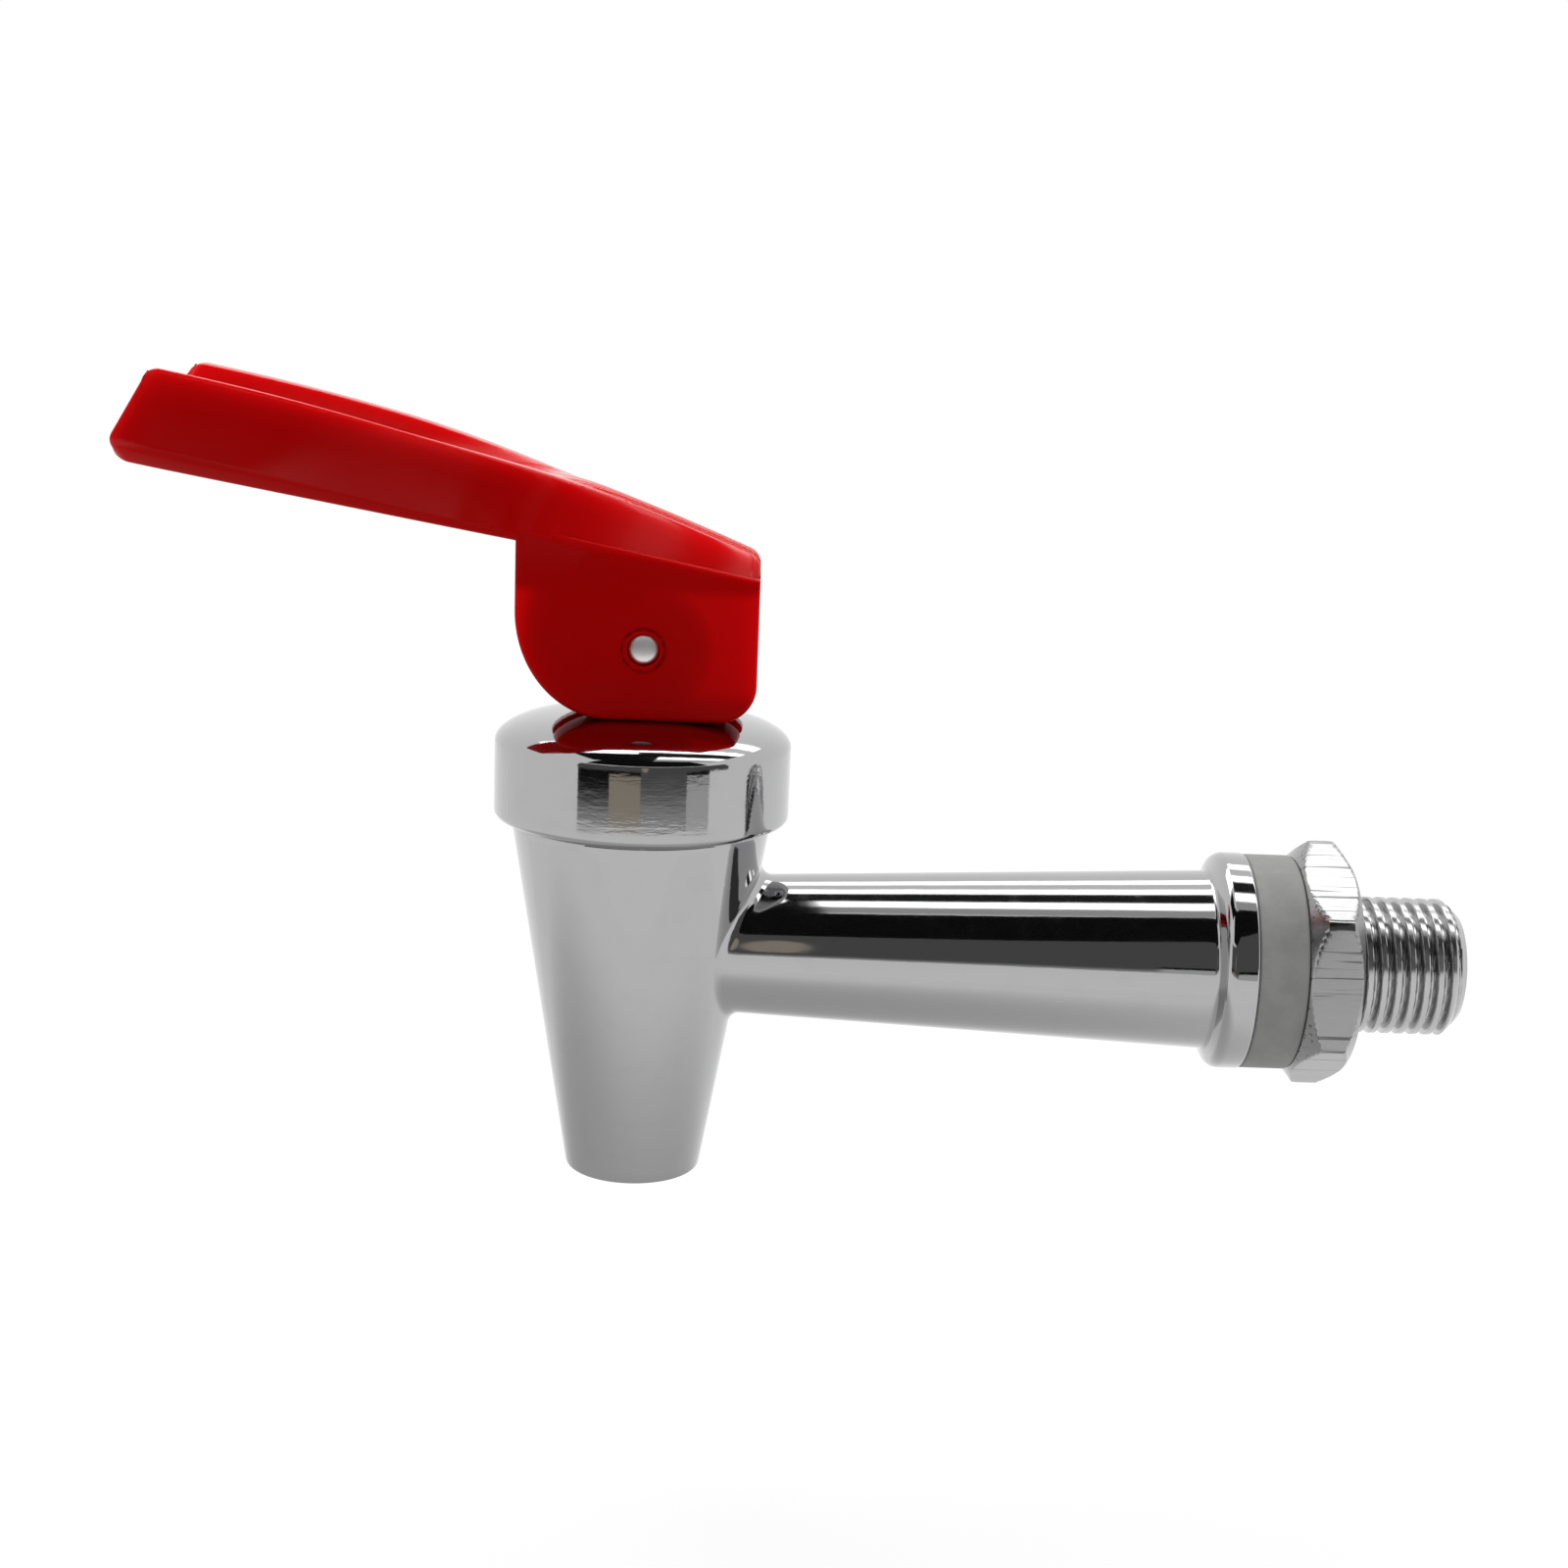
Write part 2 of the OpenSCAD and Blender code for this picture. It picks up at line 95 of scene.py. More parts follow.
class Wire:
    """An output socket of a node tree that can be used in arithmetic."""

    def __init__(self, kit: "NodeKit", socket: bpy.types.NodeSocket) -> None:
        """Args:
            socket: The output socket that is wrapped.
        """
        self.kit = kit
        self.socket = socket

    def _math(self, operation: str, *others: Any) -> "Wire":
        """Adds one Math node.

        Args:
            operation: The node's operation.
            others: Wires or numbers for the further inputs.

        Returns:
            The node's output.
        """
        values = {i: v for i, v in enumerate((self, *others))}
        return self.kit.node("ShaderNodeMath", {"operation": operation}, values)

    def __add__(self, other: Any) -> "Wire":
        """Sum."""
        return self._math("ADD", other)

    __radd__ = __add__

    def __mul__(self, other: Any) -> "Wire":
        """Product."""
        return self._math("MULTIPLY", other)

    __rmul__ = __mul__

    def __sub__(self, other: Any) -> "Wire":
        """Difference."""
        return self._math("SUBTRACT", other)

    def __rsub__(self, other: Any) -> "Wire":
        """Reflected difference."""
        return self * -1.0 + other

    def __truediv__(self, other: Any) -> "Wire":
        """Quotient."""
        return self._math("DIVIDE", other)

    def __pow__(self, other: Any) -> "Wire":
        """Power."""
        return self._math("POWER", other)

    def floor(self) -> "Wire":
        """Whole part."""
        return self._math("FLOOR")

    def fraction(self) -> "Wire":
        """Part after the point."""
        return self._math("FRACT")

    def angle(self, other: Any) -> "Wire":
        """Angle in radians of the point whose height is self and whose width is other."""
        return self._math("ARCTAN2", other)

    def size(self) -> "Wire":
        """Absolute value."""
        return self._math("ABSOLUTE")

    def sine(self) -> "Wire":
        """Sine of an angle in radians."""
        return self._math("SINE")

    def cosine(self) -> "Wire":
        """Cosine of an angle in radians."""
        return self._math("COSINE")

    def least(self, other: Any) -> "Wire":
        """The smaller of two values."""
        return self._math("MINIMUM", other)

    def most(self, other: Any) -> "Wire":
        """The larger of two values."""
        return self._math("MAXIMUM", other)

    def above(self, other: Any) -> "Wire":
        """1 where the value is greater, else 0."""
        return self._math("GREATER_THAN", other)

    def fade(self, reach: float) -> "Wire":
        """Falls from 1 at zero, by a factor of e over each reach."""
        return (self.most(0.0) * (-1.0 / reach))._math("EXPONENT")

    def ramp(self, low: float, high: float) -> "Wire":
        """Rises smoothly from 0 to 1.

        Args:
            low: Value that maps to 0.
            high: Value that maps to 1.

        Returns:
            The smooth step.
        """
        return self.kit.node(
            "ShaderNodeMapRange",
            {"interpolation_type": "SMOOTHSTEP"},
            {"Value": self, "From Min": low, "From Max": high},
        )


class NodeKit:
    """Adds nodes to one tree, of materials, of the world or of geometry."""

    def __init__(self, tree: bpy.types.NodeTree) -> None:
        """Takes the tree that the nodes go to."""
        self.tree = tree

    @classmethod
    def blank(cls, block: bpy.types.Material | bpy.types.World) -> "NodeKit":
        """Empties the node tree of a material or of the world.

        Args:
            block: The material or the world.

        Returns:
            A kit for its tree.
        """
        block.use_nodes = True
        block.node_tree.nodes.clear()
        return cls(block.node_tree)

    def node(
        self,
        kind: str,
        settings: Mapping[str, Any] | None = None,
        inputs: Mapping[int | str, Any] | None = None,
        output: int | str = 0,
    ) -> Wire:
        """Adds a node, sets it up and feeds it.

        Args:
            kind: Blender's node type.
            settings: Properties that are set before the inputs.
            inputs: Values or wires for the sockets, by index or name.
            output: The output socket to return.

        Returns:
            The chosen output.
        """
        made = self.tree.nodes.new(kind)
        for name, value in (settings or {}).items():
            setattr(made, name, value)
        self.feed(made, inputs or {})
        return Wire(self, made.outputs[output]) if len(made.outputs) else Wire(self, None)

    def feed(self, node: bpy.types.Node, inputs: Mapping[int | str, Any]) -> None:
        """Links wires to a node's sockets, or sets the sockets' own values.

        Args:
            node: The node.
            inputs: Wires or plain values, by the socket's index or name.
        """
        for key, value in inputs.items():
            if isinstance(value, Wire):
                self.tree.links.new(value.socket, node.inputs[key])
            else:
                node.inputs[key].default_value = value

    def coordinates(self) -> Wire:
        """Object coordinates, in metres."""
        return self.node("ShaderNodeTexCoord", output="Object")

    def attribute(self, name: str) -> Wire:
        """A number that is stored at the mesh's points."""
        return self.node("ShaderNodeAttribute", {"attribute_name": name}, None, "Fac")

    def axes(self, vector: Wire) -> tuple[Wire, Wire, Wire]:
        """Splits a vector.

        Args:
            vector: The vector.

        Returns:
            Its three numbers.
        """
        first = self.node("ShaderNodeSeparateXYZ", None, {0: vector})
        outs = first.socket.node.outputs
        return first, Wire(self, outs[1]), Wire(self, outs[2])

    def vector(self, x: Any, y: Any, z: Any) -> Wire:
        """Joins three numbers into a vector."""
        return self.node("ShaderNodeCombineXYZ", None, {0: x, 1: y, 2: z})

    def noise(self, where: Wire, scale: float, detail: float = 3.0, rough: float = 0.5) -> Wire:
        """Noise from 0 to 1.

        Args:
            where: The coordinates.
            scale: Features in each metre.
            detail: Octaves.
            rough: Strength of the finer octaves.

        Returns:
            The noise value.
        """
        return self.node(
            "ShaderNodeTexNoise",
            None,
            {"Vector": where, "Scale": scale, "Detail": detail, "Roughness": rough},
        )

    def blend(self, factor: Any, low: Any, high: Any) -> Wire:
        """Mixes two colours.

        Args:
            factor: 0 for the first colour, 1 for the second.
            low: The first colour.
            high: The second colour.

        Returns:
            The mixed colour.
        """
        sockets = {0: factor, 6: low, 7: high}
        return self.node("ShaderNodeMix", {"data_type": "RGBA"}, sockets, 2)

    def bump(self, height: Wire, depth: float, strength: float = 1.0) -> Wire:
        """Turns a height into a normal.

        Args:
            height: The height, from 0 to 1.
            depth: The real depth of a height of 1, in metres.
            strength: How much of it is used.

        Returns:
            The normal.
        """
        return self.node(
            "ShaderNodeBump", None, {"Height": height, "Distance": depth, "Strength": strength}
        )


Paint = Callable[[NodeKit], Wire]


def grey(value: float) -> Tint:
    """A linear grey with an alpha of 1."""
    return value, value, value, 1.0


def rgb(red: float, green: float, blue: float) -> Tint:
    """Turns screen values from 0 to 255 into a linear colour.

    Args:
        red: Red on the screen.
        green: Green on the screen.
        blue: Blue on the screen.

    Returns:
        The colour with an alpha of 1.
    """

    def linear(value: float) -> float:
        """One channel without its screen gamma."""
        c = value / 255.0
        return c / 12.92 if c <= 0.04045 else ((c + 0.055) / 1.055) ** 2.4

    return linear(red), linear(green), linear(blue), 1.0


@dataclass(frozen=True)
class Finish:
    """A surface finish. The base class is a plain dielectric."""

    name: str
    colour: Tint
    roughness: float = 0.4
    metallic: float = 0.0

    def make(self) -> bpy.types.Material:
        """Builds the material.

        Returns:
            The material.
        """
        material = bpy.data.materials.new(self.name)
        material.use_nodes = True
        kit = NodeKit(material.node_tree)
        shader = next(n for n in kit.tree.nodes if n.type == "BSDF_PRINCIPLED")
        base = {"Base Color": self.colour, "Roughness": self.roughness, "Metallic": self.metallic}
        kit.feed(shader, base)
        kit.feed(shader, self.dress(kit, kit.coordinates()))
        return material

    def shaded(self, factor: float) -> Tint:
        """The finish's colour, made darker or lighter."""
        red, green, blue = (min(1.0, c * factor) for c in self.colour[:3])
        return red, green, blue, 1.0

    def dress(self, kit: NodeKit, where: Wire) -> dict[str, Any]:
        """Adds a faint unevenness of gloss and surface.

        Args:
            kit: The material's node kit.
            where: The object coordinates.

        Returns:
            What goes into the shader's sockets, by name.
        """
        grain = kit.noise(where, 900.0)
        return {
            "Roughness": grain * 0.12 + (self.roughness - 0.06),
            "Normal": kit.bump(grain, 0.00001, 0.4),
        }


@dataclass(frozen=True)
class Chrome(Finish):
    """Bright plating over a polished casting, slightly wavy."""

    wave: float = 0.000012
    ripple: float = 0.09

    def dress(self, kit: NodeKit, where: Wire) -> dict[str, Any]:
        """Adds slow waves of the casting, polishing ripples and a few soft stains.

        Args:
            kit: The material's node kit.
            where: The object coordinates.

        Returns:
            What goes into the shader's sockets, by name.
        """
        x, y, z = kit.axes(where)
        slow = kit.noise(where, 170.0, 1.5)
        lines = kit.noise(kit.vector(x * 0.2, y * 0.6, z), 2300.0, 2.0, 0.6)
        haze = kit.noise(where, 420.0, 3.0).ramp(0.5, 0.75)
        return {
            "Roughness": haze * 0.03 + lines * 0.03 + self.roughness,
            "Base Color": kit.blend(haze, self.colour, self.shaded(0.975)),
            "Normal": kit.bump(slow + lines * self.ripple, self.wave, 1.0),
        }


@dataclass(frozen=True)
class RedPlastic(Finish):
    """Glossy red moulding that lets a little light through at its edges, partly by real subsurface
    scattering and partly as painted glow in its colour.
    """

    # Painted glow: the colour that the lit edges are brightened to.
    edge: Tint = field(default_factory=lambda: rgb(214, 4, 8))
    worn: Tint = field(default_factory=lambda: rgb(70, 2, 3))
    ring_r: float = 2.0
    cheek: float = 5.5

    def foot_glow(self, dx: Wire, dz: Wire, away: Wire) -> Wire:
        """Painted light that gathers along the edges of the foot.

        Args:
            dx: Distance from the pin towards the shank, in millimetres.
            dz: Height above the pin, in millimetres.
            away: Distance from the pin's axis, in millimetres.

        Returns:
            The glow, 0 over the bonnet and on the paddle.
        """
        turn = (dx * -1.0).angle(dz * -1.0).most(0.0).least(math.pi / 2)
        cam = (turn * CAM_RISE + CAM_R - away).fade(1.2)
        ends = (dx + FOOT_BACK).fade(1.0) + (FOOT_FRONT - dx).fade(1.0)
        return (cam + ends) * (dz + CAM_R).ramp(0.4, 3.6) * (1.0 - dz.ramp(4.6, 6.2))

    def dress(self, kit: NodeKit, where: Wire) -> dict[str, Any]:
        """Adds a painted glow towards the edges and the upper part, the mark round the pin and
        faint moulding waves.

        Args:
            kit: The material's node kit.
            where: The object coordinates.

        Returns:
            What goes into the shader's sockets, by name.
        """
        x, y, z = kit.axes(where)
        dx, dz = (x - SPOUT_X * MM) / MM, (z - PIN_Z * MM) / MM
        away = (dx * dx + dz * dz) ** 0.5
        flow = kit.noise(where, 120.0, 2.0)
        spots = kit.noise(where, 1300.0, 2.0)
        waves = kit.noise(where, 260.0, 2.0)
        grain = kit.noise(where, 1500.0, 3.0)
        # Painted light: the colour is brightened near the lit edges, along the foot's edges and
        # over the upper part of the lever, standing in for light through the plastic and light from
        # above.
        glow = kit.attribute("edge_glow") + self.foot_glow(dx, dz, away) * 0.5
        lit = (glow + dz.ramp(5.5, 11.0) * 0.2 + (flow - 0.5) * 0.16).ramp(0.0, 1.0)
        ring = (away - self.ring_r + (spots - 0.5) * 0.5).size()
        mark = (1.0 - ring.ramp(0.0, 0.3)) * y.size().above(self.cheek * MM)
        dirt = mark * spots.ramp(0.3, 0.6) * 0.7
        return {
            "Base Color": kit.blend(dirt, kit.blend(lit, self.colour, self.edge), self.worn),
            "Normal": kit.bump(mark * 0.8 + waves * 0.35, 0.00003, 0.6),
            "Roughness": grain * 0.06 + self.roughness,
            "Coat Weight": kit.attribute("rim_gloss") * 0.7 + flow * 0.03,
            "Coat IOR": 1.6,
            "Coat Roughness": 0.12,
            "IOR": 1.49,
            "Specular IOR Level": 0.03,
            "Subsurface Weight": 0.35,
            "Subsurface Radius": (1.0, 0.04, 0.03),
            "Subsurface Scale": 0.003,
        }


@dataclass(frozen=True)
class Machined(Finish):
    """Bare machined metal with tool lines along or round an axis."""

    lines: float = 9000.0
    depth: float = 0.000004
    axis: int = 0

    def drawn(self, kit: NodeKit, where: Wire, share: float) -> Wire:
        """Coordinates that run slower along the axis, for long lines."""
        parts = enumerate(kit.axes(where))
        return kit.vector(*(p * (share if i == self.axis else 1.0) for i, p in parts))

    def dress(self, kit: NodeKit, where: Wire) -> dict[str, Any]:
        """Adds tool lines that run along the axis, and a little tarnish.

        Args:
            kit: The material's node kit.
            where: The object coordinates.

        Returns:
            What goes into the shader's sockets, by name.
        """
        streak = kit.noise(self.drawn(kit, where, 0.04), self.lines, 3.0, 0.6)
        long_lines = kit.noise(self.drawn(kit, where, 0.02), self.lines * 0.32, 2.0)
        tarnish = kit.noise(where, 330.0, 3.0).ramp(0.35, 0.8)
        worn = kit.blend(tarnish * 0.5 + streak * 0.4, self.colour, self.shaded(0.82))
        return {
            "Base Color": kit.blend(long_lines.ramp(0.6, 0.68) * 0.8, worn, rgb(70, 70, 70)),
            "Roughness": streak * 0.16 + self.roughness,
            "Normal": kit.bump(streak, self.depth, 0.7),
        }


@dataclass(frozen=True)
class Silicone(Finish):
    """Matte moulded rubber with a faint bloom."""

    def dress(self, kit: NodeKit, where: Wire) -> dict[str, Any]:
        """Adds the bloom and a fine grain.

        Args:
            kit: The material's node kit.
            where: The object coordinates.

        Returns:
            What goes into the shader's sockets, by name.
        """
        bloom = kit.noise(where, 380.0, 4.0, 0.6)
        grain = kit.noise(where, 5200.0, 2.0)
        return {
            "Base Color": kit.blend(bloom.ramp(0.3, 0.75), self.colour, self.shaded(1.22)),
            "Roughness": bloom * 0.2 + self.roughness,
            "Normal": kit.bump(grain * 0.6 + bloom * 0.4, 0.00002, 0.6),
        }


@dataclass(frozen=True)
class Palette:
    """The finishes of the faucet, one of each."""

    chrome: bpy.types.Material
    red: bpy.types.Material
    stainless: bpy.types.Material
    wire: bpy.types.Material
    seat: bpy.types.Material
    slip: bpy.types.Material
    washer: bpy.types.Material
    nut: bpy.types.Material
    cap: bpy.types.Material
    pin: bpy.types.Material
    thread: bpy.types.Material

    @classmethod
    def mixed(cls) -> "Palette":
        """Builds every finish once.

        Returns:
            The palette.
        """
        plated = (0.43, 0.43, 0.435, 1.0)
        steel = Machined("turned_stainless", grey(0.52), 0.14, 1.0, 7000.0, 0.000002, 1)
        return cls(
            chrome=Chrome("polished_chrome", plated, 0.045, 1.0).make(),
            red=RedPlastic("glossy_red", rgb(168, 1, 2), 0.16).make(),
            stainless=steel.make(),
            wire=Machined("spring_wire", (0.4, 0.4, 0.41, 1.0), 0.25, 1.0).make(),
            seat=Silicone("seat_silicone", (0.72, 0.7, 0.66, 1.0), 0.55).make(),
            slip=Finish("slip_plastic", (0.7, 0.7, 0.68, 1.0), 0.45).make(),
            washer=Silicone("grey_silicone", rgb(132, 132, 131), 0.5).make(),
            nut=Machined("machined_nut", grey(0.33), 0.1, 1.0).make(),
            cap=Chrome("turned_chrome", plated, 0.045, 1.0, ripple=0.35).make(),
            pin=Chrome("polished_pin", (0.9, 0.9, 0.89, 1.0), 0.34, 1.0, 0.00003).make(),
            thread=Chrome("rolled_thread", grey(0.47), 0.17, 1.0).make(),
        )


def rounded(corners: Sequence[Corner], closed: bool = False, steps: int = 6) -> np.ndarray:
    """Rounds the corners of an outline.

    Args:
        corners: Points as (u, v, radius). A radius of 0 keeps the corner sharp.
        closed: Whether the last corner joins the first.
        steps: Spans in each rounded corner.

    Returns:
        The outline's points, one row each.
    """
    pts = np.array([c[:2] for c in corners], float)
    out: list[np.ndarray] = []
    last = len(corners) - 1
    for i, (_, _, radius) in enumerate(corners):
        here = pts[i]
        if radius <= 0.0 or (not closed and i in (0, last)):
            out.append(here)
            continue
        before, after = pts[i - 1] - here, pts[(i + 1) % len(pts)] - here
        la, lb = float(np.hypot(*before)), float(np.hypot(*after))
        a, b = before / la, after / lb
        half = 0.5 * math.acos(float(np.clip(a @ b, -1.0, 1.0)))
        if half > math.pi / 2 - 1e-4:
            out.extend([here] * (steps + 1))
            continue
        run = min(radius / math.tan(half), 0.48 * la, 0.48 * lb)
        r = run * math.tan(half)
        mid = here + (a + b) / np.hypot(*(a + b)) * (r / math.sin(half))
        start, end = here + a * run - mid, here + b * run - mid
        turn = math.acos(float(np.clip((start @ end) / (r * r), -1.0, 1.0)))
        for k in range(steps + 1):
            w = k / steps
            out.append(
                mid + (math.sin((1 - w) * turn) * start + math.sin(w * turn) * end) / math.sin(turn)
            )
    return np.array(out)


def dense(line: np.ndarray, step: float) -> np.ndarray:
    """Adds points so that no span is longer than a step.

    Args:
        line: Points, one row each.
        step: The longest span.

    Returns:
        The denser line.
    """
    out = [line[0]]
    for a, b in zip(line[:-1], line[1:]):
        spans = max(1, int(math.ceil(float(np.linalg.norm(b - a)) / step)))
        out.extend(a + (b - a) * k / spans for k in range(1, spans + 1))
    return np.array(out)


class Skin:
    """Gathers grids of points, in millimetres, into one closed mesh."""

    def __init__(self, name: str) -> None:
        """Starts an empty skin.

        Args:
            name: The name of the object that it becomes.
        """
        self.name = name
        self.points: list[np.ndarray] = []
        self.faces: list[tuple[int, ...]] = []
        self.count = 0

    def grid(self, points: np.ndarray, wrap: bool = True) -> None:
        """Adds a grid of quads.

        Args:
            points: Rows of columns of points.
            wrap: Whether the last column joins the first.
        """
        rows, cols = points.shape[:2]
        start = self.count
        self.points.append(points.reshape(-1, 3))
        self.count += rows * cols
        for i in range(rows - 1):
            for j in range(cols if wrap else cols - 1):
                k = (j + 1) % cols
                a, b = start + i * cols, start + (i + 1) * cols
                self.faces.append((a + j, a + k, b + k, b + j))

    def cap(self, ring: np.ndarray, centre: Sequence[float] | None = None) -> None:
        """Closes a ring with a fan, or with one face where no centre is given.

        Args:
            ring: The ring's points.
            centre: The fan's centre.
        """
        start, n = self.count, len(ring)
        self.points.append(ring)
        self.count += n
        if centre is None:
            self.faces.append(tuple(range(start, start + n)))
            return
        self.points.append(np.array([centre], float))
        self.count += 1
        self.faces.extend((start + j, start + (j + 1) % n, start + n) for j in range(n))

    def prism(self, rows: np.ndarray) -> None:
        """Adds a grid and closes both of its ends.

        Args:
            rows: Rows of points. The first and the last get one face each.
        """
        self.grid(rows)
        self.cap(rows[0])
        self.cap(rows[-1])

    def build(self, crease: float = 34.0) -> bpy.types.Object:
        """Makes the object.

        Args:
            crease: Edges that turn by more than this many degrees stay sharp.

        Returns:
            The object, at the origin, with its place in its mesh.
        """
        mesh = bpy.data.meshes.new(self.name)
        mesh.from_pydata((np.vstack(self.points) * MM).tolist(), [], self.faces)
        thing = linked(self.name, mesh)
        tidy_mesh(thing, crease)
        return thing


def linked(name: str, data: Any) -> bpy.types.Object:
    """Makes an object and puts it in the scene.

    Args:
        name: The object's name.
        data: Its mesh, lamp or camera.

    Returns:
        The object.
    """
    thing = bpy.data.objects.new(name, data)
    bpy.context.scene.collection.objects.link(thing)
    return thing


def outward(line: np.ndarray) -> np.ndarray:
    """Finds which way a closed outline faces.

    Args:
        line: The outline's points, counter-clockwise.

    Returns:
        A unit normal for each point.
    """
    tangent = np.roll(line, -1, 0) - np.roll(line, 1, 0)
    normal = np.column_stack([tangent[:, 1], -tangent[:, 0]])
    return normal / np.maximum(np.hypot(*normal.T), 1e-9)[:, None]


def beside_pin(line: np.ndarray, y: float) -> np.ndarray:
    """Places an outline of (x, z), counted from the pin, at a distance to its side."""
    return np.column_stack([SPOUT_X + line[:, 0], np.full(len(line), y), PIN_Z + line[:, 1]])


def tidy_mesh(thing: bpy.types.Object, crease: float) -> None:
    """Merges doubles, turns faces outwards and smooths all but sharp edges.

    Args:
        thing: The object.
        crease: The angle in degrees from which edges stay sharp.
    """
    bm = bmesh.new()
    bm.from_mesh(thing.data)
    bmesh.ops.remove_doubles(bm, verts=bm.verts, dist=2e-6)
    bmesh.ops.dissolve_degenerate(bm, edges=bm.edges, dist=1e-6)
    big = [f for f in bm.faces if len(f.verts) > 4]
    if big:
        bmesh.ops.triangulate(bm, faces=big, ngon_method="EAR_CLIP")
    bmesh.ops.recalc_face_normals(bm, faces=bm.faces)
    bm.to_mesh(thing.data)
    bm.free()
    thing.data.shade_smooth()
    thing.data.set_sharp_from_angle(angle=math.radians(crease))


def turned(profile: np.ndarray, columns: Iterable[float], upright: bool) -> np.ndarray:
    """Turns a profile of (radius, height) about the spout axis or the shank axis.

    Args:
        profile: The profile's points.
        columns: The angles, in radians.
        upright: True for the spout axis, False for the shank axis.

    Returns:
        A grid with a row for each point of the profile.
    """
    a = np.array(list(columns))[None, :]
    r, h = profile[:, :1], profile[:, 1:2]
    along = np.repeat(h, a.shape[1], 1)
    if upright:
        return np.stack([SPOUT_X + r * np.cos(a), r * np.sin(a), along], -1)
    return np.stack([along, r * np.cos(a), r * np.sin(a)], -1)


def circle(count: int) -> np.ndarray:
    """Angles of a full turn, in radians."""
    return np.linspace(0.0, 2.0 * math.pi, count, endpoint=False)


def round_line(count: int) -> np.ndarray:
    """Points of a circle of radius 1."""
    return np.column_stack([np.cos(circle(count)), np.sin(circle(count))])


def applied(thing: bpy.types.Object) -> None:
    """Turns an object's modifiers into plain mesh.

    Args:
        thing: The object.
    """
    bpy.context.view_layer.update()
    graph = bpy.context.evaluated_depsgraph_get()
    mesh = bpy.data.meshes.new_from_object(thing.evaluated_get(graph), depsgraph=graph)
    old = thing.data
    thing.modifiers.clear()
    thing.data = mesh
    mesh.name = thing.name
    if old.users == 0:
        bpy.data.meshes.remove(old)


def carve(thing: bpy.types.Object, tool: bpy.types.Object, op: Op) -> None:
    """Joins a tool to an object or cuts it away, and removes the tool.

    Args:
        thing: The object that stays.
        tool: The object that is used up.
        op: Which of the two.
    """
    step = thing.modifiers.new("carve", "BOOLEAN")
    step.operation = op.value
    step.solver = "EXACT"
    step.object = tool
    applied(thing)
    mesh = tool.data
    bpy.data.objects.remove(tool)
    bpy.data.meshes.remove(mesh)


def dressed(thing: bpy.types.Object, material: bpy.types.Material) -> bpy.types.Object:
    """Gives an object one material.

    Args:
        thing: The object.
        material: The material that takes the place of any other.

    Returns:
        The same object.
    """
    thing.data.materials.clear()
    thing.data.materials.append(material)
    return thing


